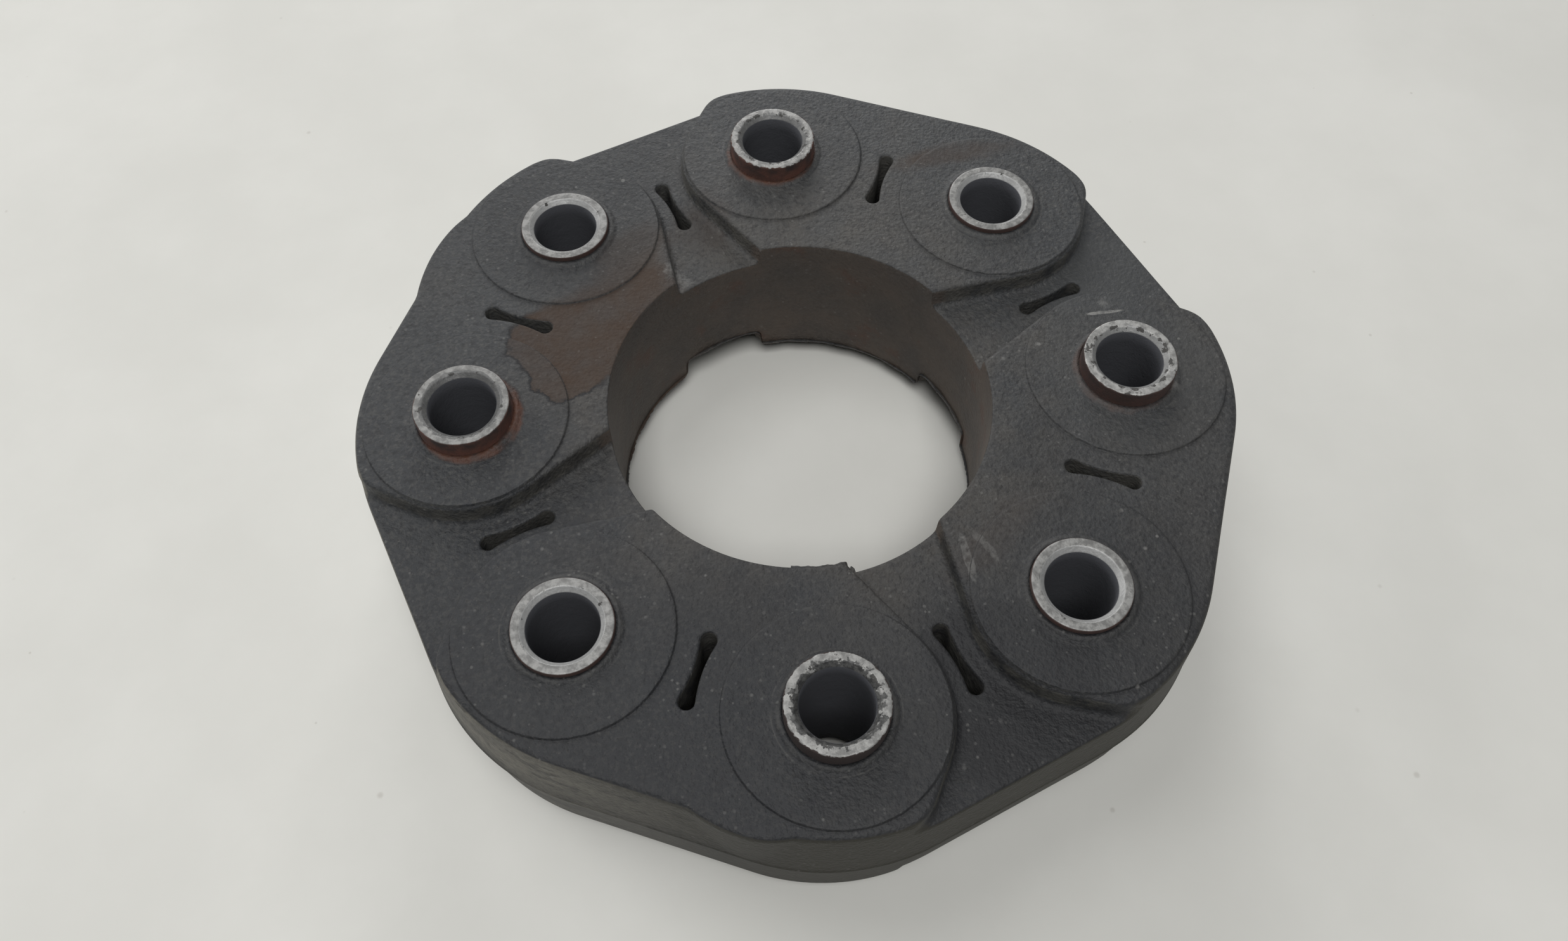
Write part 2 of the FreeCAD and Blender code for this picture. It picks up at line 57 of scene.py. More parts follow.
sleeve_mm = (sleeve_high.y - sleeve_low.y) / 2 / MM
parting_ridge = 0.2
corner_reach_mm = rubber_high.x / MM - parting_ridge
sleeve_count = 8
half_step = math.pi / sleeve_count
pair_x = pitch_mm * math.cos(half_step)
pair_y = pitch_mm * math.sin(half_step)
sleeve_spot = np.array((pair_x, pair_y))
lobe_level = 15.35
recess_level = 11.05
disc_mm = 18.21
disc_rise = 0.4
disc_step = (disc_mm - 0.14, disc_mm + 0.24)
lip_foot_mm = 9.9
lip_crown_mm = 9.3
lip_rise = 0.5
recess_wall_mm = 18.86
exit_wall_mm = 20.91
lobe_corner_mm = 8.0
recess_turns = np.radians((-104, -40, -10))
recess_foot = 1.4
recess_edge = 0.85
hole_mm = 34.78
hole_edge = 0.35
slot_waist = 1.45
slot_end = 1.35
slot_edge = 0.5
corner_round_mm = 40.01
draft_turn = math.radians(4.5)
draft = math.tan(draft_turn)
lobe_edge_round = 1.15
recess_edge_round = 0.7
wall_top = 0.8 / draft
slot_side = pair_y - slot_waist / 2
slot_run = math.sqrt((slot_side + slot_end) ** 2 - pair_y ** 2)
slot_lean = math.atan2(slot_run, pair_y)
outline_spot = (corner_reach_mm - corner_round_mm) * np.array((math.cos(half_step), math.sin(half_step)))
outline_turns = (0, 2 * half_step)
# The lobe's corner is round between the wall's last two runs, whose distances from the sleeve are known.
run_normals = np.stack([np.cos(recess_turns[1:]), np.sin(recess_turns[1:])], 1)
run_reaches = np.array((recess_wall_mm, exit_wall_mm)) - lobe_corner_mm
corner_spot = sleeve_spot + np.linalg.solve(run_normals, run_reaches)


def arc_distance(x, y, centre, turns, radius):
    """Distance past an arc that runs on in its two end tangents; negative inside."""
    x = x - centre[0]
    y = y - centre[1]
    turn = np.clip(np.arctan2(y, x), *turns)
    return x * np.cos(turn) + y * np.sin(turn) - radius


def recess_distance(x, y):
    """Distance past the recess wall: round the sleeve, then round the lobe's corner."""
    wrap = arc_distance(x, y, sleeve_spot, recess_turns[:2], recess_wall_mm)
    corner = arc_distance(x, y, corner_spot, recess_turns[1:], lobe_corner_mm)
    return np.maximum(wrap, corner)


def outline_inset(x, y):
    """How far inside the outline at the parting line a place is."""
    return -arc_distance(x, y, outline_spot, outline_turns, corner_round_mm)


def slot_distance(across, away):
    """Distance from the wall of the slot that lies along a ray; away is the distance from the ray."""
    from_x = across - pair_x
    from_y = away - pair_y
    side = slot_side - np.hypot(from_x, from_y)
    ends = np.minimum(np.hypot(from_x - slot_run, away), np.hypot(from_x + slot_run, away)) - slot_end
    beside = np.abs(np.arctan2(from_x, -from_y)) < slot_lean
    return np.where(beside, side, ends)


def rounded_drop(distance, radius):
    """How far a rounded edge falls away, at a distance from the wall that it meets."""
    short = radius - np.clip(distance, 0, radius)
    return radius - np.sqrt(radius ** 2 - short ** 2)


def smooth_step(value, start, stop):
    """Share from 0 at start to 1 at stop, eased at both ends."""
    share = np.clip((value - start) / (stop - start), 0, 1)
    return share * share * (3 - 2 * share)


def recess_profile(past):
    """Height of the lobe's edge, of the recess wall and of its hollow foot, by distance past the wall."""
    # Half the width over which the wall is drawn.
    half = 0.05
    crest = lobe_level - rounded_drop(-past - half, recess_edge)
    wall_foot = recess_level + recess_foot
    wall = lobe_level - recess_edge + (wall_foot - lobe_level + recess_edge) * (past + half) / (2 * half)
    hollow = wall_foot - np.sqrt(recess_foot ** 2 - (recess_foot - np.clip(past - half, 0, recess_foot)) ** 2)
    return np.where(past < -half, crest, np.where(past < half, wall, hollow))


def face_height(x, y):
    """Height of the upper face at points of the eighth, whose recess ray is the x axis."""
    from_sleeve = np.hypot(x - pair_x, y - pair_y)
    level = recess_profile(recess_distance(x, y))
    inset = outline_inset(x, y)
    share = np.clip((level - recess_level) / (lobe_level - recess_level), 0, 1)
    edge = recess_edge_round + share * (lobe_edge_round - recess_edge_round)
    middle = draft * (level - edge) + edge * math.sqrt(1 + draft ** 2)
    bend = level - edge + np.sqrt(np.maximum(edge ** 2 - (middle - inset) ** 2, 0))
    # The rounded edge meets the slanted wall at this share of its radius.
    meets = 0.997
    height = np.where(inset > middle, level, np.where(inset > middle - edge * meets, bend, inset / draft))
    height = height + disc_rise * (1 - smooth_step(from_sleeve, *disc_step))
    height = height + lip_rise * (1 - smooth_step(from_sleeve, lip_crown_mm - 0.2, lip_foot_mm + 0.15))
    height = height - rounded_drop(np.hypot(x, y) - hole_mm, hole_edge)
    height = height - rounded_drop(slot_distance(x, y), slot_edge)
    return height - rounded_drop(slot_distance(*lobe_side(x, y)), slot_edge)


def lobe_side(x, y):
    """The same places seen from the other ray of the eighth, the lobe's."""
    return (x + y) * math.sqrt(0.5), (x - y) * math.sqrt(0.5)


def arc_line(centre, radius, first, last, step=0.9):
    """Points along an arc."""
    turns = np.linspace(first, last, max(2, math.ceil(abs(last - first) * radius / step) + 1))
    return np.stack([centre[0] + radius * np.cos(turns), centre[1] + radius * np.sin(turns)], 1)


def run_on(points, turns, before, after, step=0.9):
    """The line run on straight from its first and last turns, and with its long runs divided."""
    head = points[0] + before * np.array((math.sin(turns[0]), -math.cos(turns[0])))
    tail = points[-1] + after * np.array((-math.sin(turns[-1]), math.cos(turns[-1])))
    line = []
    bare = np.vstack([head, points, tail])
    for a, b in zip(bare, bare[1:]):
        count = max(1, round(np.linalg.norm(b - a) / step))
        line += [a + (b - a) * k / count for k in range(count)]
    return np.array(line + [tail])


def recess_line(past):
    """Line beside the recess wall, at a distance past it."""
    wrap = arc_line(sleeve_spot, recess_wall_mm + past, *recess_turns[:2])
    corner = arc_line(corner_spot, lobe_corner_mm + past, *recess_turns[1:])
    return run_on(np.vstack([wrap, corner]), recess_turns, before=24, after=9)


def outline_line(inset):
    """Line inside the outline, at an inset from it."""
    step = 1.1
    arc = arc_line(outline_spot, corner_round_mm - inset, *outline_turns, step)
    return run_on(arc, outline_turns, before=22, after=22, step=step)


def hole_line(reach):
    """Line round the hole that ends a little past the eighth."""
    return arc_line((0, 0), hole_mm + reach, math.radians(-4), math.radians(49))


def ring_line(radius, step=0.9):
    """Closed ring about the sleeve."""
    return arc_line(sleeve_spot, radius, 0, 2 * math.pi, step)[:-1]


def slot_line(grow):
    """Closed outline of the slot on the x axis, grown by a distance."""
    lean = math.pi / 2 - slot_lean
    end = slot_end + grow
    side = slot_side - grow
    step = 0.5
    parts = [arc_line((slot_run, 0), end, lean - math.pi, math.pi - lean, step),
             arc_line((0, pair_y), side, -lean, lean - math.pi, step)[1:-1],
             arc_line((-slot_run, 0), end, lean, 2 * math.pi - lean, step),
             arc_line((0, -pair_y), side, math.pi - lean, lean, step)[1:-1]]
    return np.vstack(parts) + (pair_x, 0)


def within(polygon, points):
    """Which points lie inside a closed polygon."""
    inside = np.zeros(len(points), bool)
    for a, b in zip(polygon, np.roll(polygon, -1, 0)):
        crosses = (a[1] > points[:, 1]) != (b[1] > points[:, 1])
        rise = b[1] - a[1]
        at = a[0] + (points[:, 1] - a[1]) * (b[0] - a[0]) / (rise if rise else 1)
        inside ^= crosses & (points[:, 0] < at)
    return inside


# Every crease of the face gets lines of its own, close together where it bends. The numbers are distances
# from the walls, and round the sleeve from its axis.
recess_creases = (-1.6, -0.9, -0.7, -0.5, -0.33, -0.2, -0.1, -0.05, 0.05, 0.15, 0.35, 0.65, 1.0, 1.45, 2.1)
outline_creases = (0, 0.04, 0.1, 0.2, 0.27, 0.33, 0.4, 0.53, 0.73, 1.08, 1.47, 2.4)
hole_creases = (0, 0.04, 0.12, 0.22, hole_edge, 0.9)
slot_creases = (0, 0.05, 0.14, 0.3, slot_edge, 0.9)
sleeve_creases = (lip_crown_mm - 0.2, 9.4, 9.65, 9.85, lip_foot_mm + 0.15, 10.7, 17.7,
                  *np.linspace(*disc_step, 6), 18.6)
recess_slot = [slot_line(grow) for grow in slot_creases]
lobe_slot = [np.stack(lobe_side(*line.T), 1) for line in recess_slot]
seat_line = ring_line(sleeve_mm, 0.8)
recess_ray = np.array([(reach, 0.0) for reach in np.arange(33, 84, 1.2)])
lines = [recess_line(past) for past in recess_creases]
lines += [outline_line(wall_top * draft + past) for past in outline_creases]
lines += [hole_line(reach) for reach in hole_creases]
lines += [recess_ray, np.stack(lobe_side(*recess_ray.T), 1)]
closed = [ring_line(radius) for radius in sleeve_creases]
closed += [seat_line, *recess_slot, *lobe_slot]

spots = []
edges = []
for group, loops in ((lines, False), (closed, True)):
    for line in group:
        first = len(spots)
        spots += [Vector(p) for p in line]
        edges += [(first + k, first + k + 1) for k in range(len(line) - 1)]
        if loops:
            edges.append((len(spots) - 1, first))
# A grid of points fills the face between the lines and stays clear of them and of the lobe's ray.
grid_step = 1.55
row_step = grid_step * 0.866
clear_of_lines = grid_step * 0.55
short_of_ray = 0.985
known = np.array(spots)
fill = []
for row, y in enumerate(np.arange(0.6, 60, row_step)):
    for x in np.arange(34 + grid_step * (row % 2) / 2, 82, grid_step):
        if y < x * short_of_ray and np.hypot(known[:, 0] - x, known[:, 1] - y).min() > clear_of_lines:
            fill.append(Vector((x, y)))
flat, _, triangles, _, _, _ = geometry.delaunay_2d_cdt(spots + fill, edges, [], 0, 1e-5)
flat = np.array(flat)
triangles = np.array(triangles)
middle = flat[triangles].mean(1)
kept = (middle[:, 1] > 0) & (middle[:, 1] < middle[:, 0])
kept &= within(np.vstack([outline_line(wall_top * draft), (0, 0)]), middle)
for gap in (np.vstack([hole_line(0), (0, 0)]), seat_line, recess_slot[0], lobe_slot[0]):
    kept &= ~within(gap, middle)
triangles = triangles[kept]
ax, ay = flat[triangles[:, 0]].T
bx, by = flat[triangles[:, 1]].T
cx, cy = flat[triangles[:, 2]].T
turned = (bx - ax) * (cy - ay) < (by - ay) * (cx - ax)
triangles[turned] = triangles[turned][:, ::-1]
used = np.unique(triangles)
renumber = np.full(len(flat), -1)
renumber[used] = np.arange(len(used))
flat = flat[used]
triangles = renumber[triangles]
upper = np.column_stack([flat, face_height(flat[:, 0], flat[:, 1])])
count = len(upper)
points = [upper, upper * (1, 1, -1)]
faces = [tuple(t) for t in triangles] + [tuple(t[::-1] + count) for t in triangles]

# The walls join the two faces: outline with its parting line, hole, slots and sleeve seats.
sides = {}
for a, b, c in triangles:
    for edge in ((a, b), (b, c), (c, a)):
        if edge[::-1] in sides:
            del sides[edge[::-1]]
        else:
            sides[edge] = True
# The outline's rows lie close together at the parting line; the other walls are divided evenly. Border
# edges within seam_reach of the eighth's two rays get no wall, as the next eighth goes on there.
wall_rows = (8.6, 7.0, 5.4, 3.9, 2.6, 1.6, 1.0, 0.65, 0.4, 0.22, 0.1)
outline_rows = [*wall_rows, 0, *(-z for z in reversed(wall_rows))]
wall_parts = {"hole": 20, "slot": 8, "seat": 4}
seam_reach = 0.001
columns = {}
total = 2 * count
added = []


def wall_kind(x, y):
    """Which wall a border edge of the face stands on, by the place of its middle."""
    near = 0.05
    if abs(math.hypot(x, y) - hole_mm) < near:
        return "hole"
    if abs(math.hypot(x - pair_x, y - pair_y) - sleeve_mm) < near:
        return "seat"
    if abs(outline_inset(x, y) - wall_top * draft) < near:
        return "outline"
    return "slot"


def column(index, kind):
    """Numbers of the vertices down the wall from one vertex of the upper face."""
    global total
    if index in columns:
        return columns[index]
    x, y, top = upper[index]
    if kind == "outline":
        turn = np.clip(math.atan2(y - outline_spot[1], x - outline_spot[0]), *outline_turns)
        rows = []
        for z in outline_rows:
            out = (wall_top - abs(z)) * draft
            rows.append((x + out * math.cos(turn), y + out * math.sin(turn), z))
    else:
        parts = wall_parts[kind]
        rows = [(x, y, top * (1 - 2 * k / parts)) for k in range(1, parts)]
    added.extend(rows)
    columns[index] = [index, *range(total, total + len(rows)), index + count]
    total += len(rows)
    return columns[index]


for a, b in sides:
    here = (flat[a] + flat[b]) / 2
    if min(here[1], here[0] - here[1]) < seam_reach:
        continue
    kind = wall_kind(*here)
    left = column(a, kind)
    right = column(b, kind)
    for k in range(len(left) - 1):
        faces.append((left[k], left[k + 1], right[k + 1], right[k]))
points.append(np.array(added))
eighth = np.vstack(points)

body_points = []
body_faces = []
for quarter in range(4):
    turn = half_step + quarter * math.pi / 2
    for side in (1, -1):
        placed = eighth * (1, side, 1)
        start = len(body_points) * len(eighth)
        spun = np.column_stack([placed[:, 0] * math.cos(turn) - placed[:, 1] * math.sin(turn),
                                placed[:, 0] * math.sin(turn) + placed[:, 1] * math.cos(turn), placed[:, 2]])
        body_points.append(spun)
        for face in faces:
            face = face if side > 0 else face[::-1]
            body_faces.append([start + k for k in face])
body_points = np.vstack(body_points)


def wavering(places, scale_mm, seed):
    """Smooth noise from -1 to 1 at places given in mm."""
    shift = Vector((seed, seed * 1.7, -seed))
    return np.array([noise.noise(Vector(p) / scale_mm + shift) for p in places])


def new_piece(name, places_mm, polygons):
    """Smooth mesh object that belongs to the part."""
    mesh = bpy.data.meshes.new(name)
    mesh.from_pydata(np.asarray(places_mm) * MM, [], polygons)
    mesh.update()
    mesh.shade_smooth()
    piece = bpy.data.objects.new(name, mesh)
    bpy.context.scene.collection.objects.link(piece)
    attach(piece, "root")
    return piece


def weld(piece, distance_mm):
    """Joins the eighths where they meet."""
    welder = piece.modifiers.new("weld", "WELD")
    welder.merge_threshold = distance_mm * MM
    graph = bpy.context.evaluated_depsgraph_get()
    mesh = bpy.data.meshes.new_from_object(piece.evaluated_get(graph))
    piece.modifiers.clear()
    piece.data = mesh
    mesh.name = piece.name


rubber = new_piece("moulded_rubber_body", body_points, body_faces)
weld(rubber, 0.002)
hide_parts("rubber_body")

# Two bare swellings of the outer wall, a ridge at the parting line and slight unevenness all over. They
# move the welded body, so nothing opens where the eighths meet.
places = np.array([v.co for v in rubber.data.vertices]) / MM
apothem = outline_spot[0] + corner_round_mm
from_sleeves = np.full(len(places), pitch_mm)
for turn in np.arange(sleeve_count) * 2 * half_step:
    gap = np.hypot(places[:, 0] - pitch_mm * math.cos(turn), places[:, 1] - pitch_mm * math.sin(turn))
    from_sleeves = np.minimum(from_sleeves, gap)
beside_disc = (from_sleeves > disc_step[1] + 0.01) | (places[:, 2] < lobe_level - 0.5)
for pad_turn, pad_reach, pad_round in ((150, 1.8, 33), (258, 1.5, 24)):
    turn = math.radians(pad_turn)
    across = places[:, 0] * math.cos(turn) + places[:, 1] * math.sin(turn)
    along = -places[:, 0] * math.sin(turn) + places[:, 1] * math.cos(turn)
    bulge = pad_round + np.maximum(places[:, 2], 0) * math.tan(math.atan(pad_reach / lobe_level) - draft_turn)
    limit = apothem - pad_round + np.sqrt(np.maximum(bulge ** 2 - along ** 2, 0))
    wall_here = apothem - np.abs(places[:, 2]) * draft
    near_wall = smooth_step(across, wall_here - 1.5, wall_here - 0.9)
    covers = (np.abs(along) < bulge) & (across > 0) & (places[:, 2] > 0) & beside_disc
    room = np.where(covers, np.maximum(limit - wall_here, 0), 0)
    places[:, 0] += room * near_wall * math.cos(turn)
    places[:, 1] += room * near_wall * math.sin(turn)
away = np.hypot(places[:, 0], places[:, 1])
outward = places[:, :2] / away[:, None]
ridge_width = 0.3
broad_waves = 0.06
fine_waves = 0.025
at_parting = (away > 70) & (np.abs(places[:, 2]) < 4 * ridge_width)
ridge = parting_ridge * np.exp(-(places[:, 2] / ridge_width) ** 2) * (0.7 + 0.3 * wavering(places, 9, 3))
places[:, :2] += outward * (ridge * at_parting)[:, None]
places[:, 2] += broad_waves * wavering(places, 14, 1) + fine_waves * wavering(places, 4, 2)
rubber.data.vertices.foreach_set("co", (places * MM).astype(np.float32).ravel())
rubber.data.update()

# Mould flash.
# Thin skins of rubber that squeezed out between the mould's core and its halves. One is left round the
# hole's lower edge, torn in steps, and one hangs from the upper edge with a longer tongue at its end.
flash_thickness = 0.18
tongue_turn = 279.9


def flash_reach(turn, side):
    """How far the flash stands into the hole, in mm, at a turn in degrees."""
    rim = Vector((hole_mm * math.cos(math.radians(turn)), hole_mm * math.sin(math.radians(turn)), 0))
    torn = 0.12 * noise.noise(rim / 0.6)
    if side < 0:
        steps = round(4 * (0.5 + 0.9 * noise.noise(rim / 4.5))) / 4
        return max(0.05, 0.18 + 0.5 * steps + torn)
    tongue = 1.1 * math.exp(-((turn - tongue_turn) / 0.75) ** 2)
    return max(0.03, 0.25 + 0.35 * noise.noise(rim / 1.6) + torn + tongue)


def flash_ribbon(name, side, first, last):
    """Ribbon along the hole's upper or lower edge, at the height that the face has there."""
    turn_step = 0.25
    turns = np.arange(first, last, turn_step)
    closed = last - first == 360
    root = hole_mm + 0.4
    ribbon = []
    for turn in turns:
        from_ray = abs((turn - 22.5 + 45) % 90 - 45)
        level = face_height(root * math.cos(math.radians(from_ray)), root * math.sin(math.radians(from_ray)))
        reach = flash_reach(turn, side)
        for radius in (root, hole_mm - reach * 0.6, hole_mm - reach):
            sag = 0.1 + 0.2 * max(0, hole_mm - radius)
            for height in (level - sag, level - sag - flash_thickness):
                ribbon.append((radius * math.cos(math.radians(turn)), radius * math.sin(math.radians(turn)),
                               side * float(height)))
    section = (0, 1, 3, 5, 4, 2) if side > 0 else (0, 2, 4, 5, 3, 1)
    skin = []
    for k in range(len(turns) if closed else len(turns) - 1):
        ahead = 6 * ((k + 1) % len(turns))
        for a, b in zip(section, section[1:] + section[:1]):
            skin.append((6 * k + a, 6 * k + b, ahead + b, ahead + a))
    if not closed:
        skin += [tuple(reversed(section)), tuple(6 * (len(turns) - 1) + k for k in section)]
    piece = new_piece(name, ribbon, skin)
    return piece


flashes = [flash_ribbon("upper_mould_flash", 1, 262, 280.6), flash_ribbon("lower_mould_flash", -1, 0, 360)]

# Rubber, its finish.
# Carbon-black natural rubber, matt with age. Road dust, films of dried mud and fine pits lie over it,
# most of it round the hole and on the upright walls. Some of its colour is painted light and shade: darker at
# the front and along creases, lighter at the back, on the recess walls and in a few rings and patches.


def put(tree, kind, wires=(), **settings):
    """New node with its settings, and with values or links on its inputs."""
    made = tree.nodes.new(kind)
    for key, value in settings.items():
        setattr(made, key, value)
    for key, value in dict(wires).items():
        if isinstance(value, bpy.types.NodeSocket):
            tree.links.new(value, made.inputs[key])
        else:
            made.inputs[key].default_value = value
    return made


def maths(tree, operation, *values):
    return put(tree, "ShaderNodeMath", enumerate(values), operation=operation).outputs[0]


def new_group(name, inputs, outputs):
    """Empty node group with named inputs and outputs, and its two end nodes."""
    tree = bpy.data.node_groups.new(name, "ShaderNodeTree")
    for direction, sockets in (("INPUT", inputs), ("OUTPUT", outputs)):
        for label, kind, *value in sockets:
            socket = tree.interface.new_socket(label, in_out=direction, socket_type="NodeSocket" + kind)
            if value:
                socket.default_value = value[0]
    return tree, tree.nodes.new("NodeGroupInput").outputs, tree.nodes.new("NodeGroupOutput").inputs


def mapped(tree, value, low, high):
    """Value run from 0 at low to 1 at high, clamped and eased."""
    node = put(tree, "ShaderNodeMapRange", {"Value": value, "From Min": low, "From Max": high},
               interpolation_type="SMOOTHSTEP")
    return node.outputs["Result"]


clouds, given, result = new_group(
    "dust_clouds",
    [("Place", "Vector"), ("Scale", "Float", 60.0), ("Start", "Float", 0.45), ("Full", "Float", 0.65)],
    [("Mask", "Float")])
cloud_noise = put(clouds, "ShaderNodeTexNoise", {"Vector": given["Place"], "Scale": given["Scale"],
                                                 "Detail": 6.0, "Roughness": 0.62})
clouds.links.new(mapped(clouds, cloud_noise.outputs["Fac"], given["Start"], given["Full"]), result["Mask"])

specks, given, result = new_group(
    "pale_specks",
    [("Place", "Vector"), ("Scale", "Float", 600.0), ("Radius", "Float", 0.2), ("Share", "Float", 0.2)],
    [("Mask", "Float")])
cells = put(specks, "ShaderNodeTexVoronoi", {"Vector": given["Place"], "Scale": given["Scale"]})
lot = put(specks, "ShaderNodeSeparateColor", {"Color": cells.outputs["Color"]}).outputs
size_lot = maths(specks, "MULTIPLY", given["Radius"], maths(specks, "ADD", lot["Green"], 0.25))
chosen = maths(specks, "LESS_THAN", lot["Red"], given["Share"])
round_spot = mapped(specks, cells.outputs["Distance"], size_lot, maths(specks, "MULTIPLY", size_lot, 0.3))
specks.links.new(maths(specks, "MULTIPLY", round_spot, chosen), result["Mask"])

grain, given, result = new_group(
    "skin_grain",
    [("Place", "Vector"), ("Fine", "Float", 1500.0), ("Coarse", "Float", 260.0),
     ("Fine share", "Float", 0.5)],
    [("Height", "Float")])
fine = put(grain, "ShaderNodeTexNoise", {"Vector": given["Place"], "Scale": given["Fine"], "Detail": 3.0})
coarse = put(grain, "ShaderNodeTexNoise", {"Vector": given["Place"], "Scale": given["Coarse"], "Detail": 4.0})
both = put(grain, "ShaderNodeMix", {0: given["Fine share"], 2: coarse.outputs["Fac"], 3: fine.outputs["Fac"]})
grain.links.new(both.outputs[0], result["Height"])

# How far a place is from the nearest sleeve's axis, and how far inside the outline, in millimetres.
around, given, result = new_group("around_sleeves", [("Place", "Vector")],
                                  [("Distance", "Float"), ("Inset", "Float")])
axes = put(around, "ShaderNodeSeparateXYZ", {0: given["Place"]}).outputs
bearing = maths(around, "ARCTAN2", axes["Y"], axes["X"])
step = maths(around, "ROUND", maths(around, "DIVIDE", bearing, 2 * half_step))
lean = maths(around, "SUBTRACT", bearing, maths(around, "MULTIPLY", step, 2 * half_step))
radius = maths(around, "SQRT", maths(around, "ADD", maths(around, "MULTIPLY", axes["X"], axes["X"]),
                                     maths(around, "MULTIPLY", axes["Y"], axes["Y"])))
along_ray = maths(around, "MULTIPLY", radius, maths(around, "COSINE", lean))
beside_ray = maths(around, "MULTIPLY", radius, maths(around, "SINE", lean))
from_axis = maths(around, "SUBTRACT", along_ray, pitch_mm * MM)
squares = maths(around, "ADD", maths(around, "MULTIPLY", from_axis, from_axis),
                maths(around, "MULTIPLY", beside_ray, beside_ray))
around.links.new(maths(around, "MULTIPLY", maths(around, "SQRT", squares), 1 / MM), result["Distance"])
from_corner = maths(around, "SUBTRACT", along_ray, (corner_reach_mm - corner_round_mm) * MM)
facing = maths(around, "ARCTAN2", beside_ray, from_corner)
facing = maths(around, "MAXIMUM", maths(around, "MINIMUM", facing, half_step), -half_step)
outward = maths(around, "ADD", maths(around, "MULTIPLY", from_corner, maths(around, "COSINE", facing)),
                maths(around, "MULTIPLY", beside_ray, maths(around, "SINE", facing)))
around.links.new(maths(around, "SUBTRACT", corner_round_mm, maths(around, "MULTIPLY", outward, 1 / MM)),
                 result["Inset"])

# A patch about one place, with a torn edge. The edge itself is a second mask, for cracks and rims. Its
# sides are taken in centimetres, so that high powers of them stay in range.
patch, given, result = new_group(
    "torn_patch",
    [("Place", "Vector"), ("Middle", "Vector"), ("Reach", "Float", 10.0), ("Stretch", "Vector", (1, 1, 1)),
     ("Turn", "Float", 0.0), ("Tear", "Float", 3.0), ("Tear scale", "Float", 90.0),
     ("Softness", "Float", 0.5), ("Squareness", "Float", 2.0)],
    [("Mask", "Float"), ("Edge", "Float")])
shifted = put(patch, "ShaderNodeVectorMath", {0: given["Place"], 1: given["Middle"]}, operation="SUBTRACT")
rotated = put(patch, "ShaderNodeVectorRotate", {"Vector": shifted.outputs[0], "Angle": given["Turn"]},
              rotation_type="Z_AXIS")
stretched = put(patch, "ShaderNodeVectorMath", {0: rotated.outputs[0], 1: given["Stretch"]},
                operation="MULTIPLY")
ways = put(patch, "ShaderNodeSeparateXYZ", {0: stretched.outputs[0]}).outputs
powers = []
for axis in ("X", "Y"):
    part = maths(patch, "MULTIPLY", maths(patch, "ABSOLUTE", ways[axis]), 100.0)
    powers.append(maths(patch, "POWER", part, given["Squareness"]))
root = maths(patch, "DIVIDE", 1.0, given["Squareness"])
length = maths(patch, "MULTIPLY", maths(patch, "POWER", maths(patch, "ADD", *powers), root), 0.01)
tear_noise = put(patch, "ShaderNodeTexNoise", {"Vector": given["Place"], "Scale": given["Tear scale"],
                                               "Detail": 5.0, "Roughness": 0.6}).outputs["Fac"]
tear = maths(patch, "MULTIPLY", maths(patch, "SUBTRACT", tear_noise, 0.5), given["Tear"])
beyond = maths(patch, "ADD", maths(patch, "SUBTRACT", maths(patch, "MULTIPLY", length, 1 / MM),
                                   given["Reach"]), maths(patch, "MULTIPLY", tear, 2.0))
patch.links.new(mapped(patch, beyond, given["Softness"], maths(patch, "MULTIPLY", given["Softness"], -1.0)),
                result["Mask"])
rim_width = maths(patch, "ADD", given["Softness"], 0.3)
patch.links.new(mapped(patch, maths(patch, "ABSOLUTE", beyond), rim_width, 0.0), result["Edge"])


def place_group(tree, group, **values):
    """Outputs of a shared group, with its inputs set; an underscore stands for a space."""
    node = tree.nodes.new("ShaderNodeGroup")
    node.node_tree = group
    for key, value in values.items():
        socket = node.inputs[key.replace("_", " ")]
        if isinstance(value, bpy.types.NodeSocket):
            tree.links.new(value, socket)
        else:
            socket.default_value = value
    return node.outputs


def cover(tree, share, below, above):
    """Colour below, covered by colour above where the share is 1."""
    return put(tree, "ShaderNodeMix", {0: share, 6: below, 7: above}, data_type="RGBA").outputs[2]


def times(tree, *values):
    """Product of values and links."""
    product = values[0]
    for value in values[1:]:
        product = maths(tree, "MULTIPLY", product, value)
    return product


def new_material(name, roughness):
    """Material with a Principled BSDF; returns it, its tree, the shader and the object coordinates."""
    material = bpy.data.materials.new(name)
    material.use_nodes = True
    tree = material.node_tree
    shader = tree.nodes["Principled BSDF"]
    shader.inputs["Roughness"].default_value = roughness
    return material, tree, shader, tree.nodes.new("ShaderNodeTexCoord").outputs


charcoal = (0.0195, 0.0210, 0.0240, 1)
worn_grey_and_sheen = (0.0495, 0.0512, 0.0518, 1)
ash_dust_and_highlight = (0.078, 0.076, 0.071, 1)
soot_and_shade = (0.008, 0.008, 0.009, 1)
road_dust = (0.082, 0.070, 0.055, 1)
wall_dust_and_light = (0.150, 0.142, 0.120, 1)
wall_shade_brown = (0.026, 0.024, 0.017, 1)
hole_dust = (0.095, 0.073, 0.058, 1)
dried_mud = (0.050, 0.032, 0.022, 1)
rust_stain = (0.085, 0.036, 0.022, 1)
chalk = (0.30, 0.295, 0.28, 1)
rubber_skin, tree, shader, coordinates = new_material("aged_black_rubber", 0.6)
shader.inputs["Specular IOR Level"].default_value = 0.34
place = coordinates["Object"]
upright = put(tree, "ShaderNodeSeparateXYZ", {0: coordinates["Normal"]}).outputs["Z"]
wall = mapped(tree, maths(tree, "ABSOLUTE", upright), 0.62, 0.25)
axes = put(tree, "ShaderNodeSeparateXYZ", {0: place}).outputs
flat_place = put(tree, "ShaderNodeCombineXYZ", {"X": axes["X"], "Y": axes["Y"]}).outputs[0]
from_middle = put(tree, "ShaderNodeVectorMath", {0: flat_place}, operation="LENGTH").outputs["Value"]
near = place_group(tree, around, Place=place)


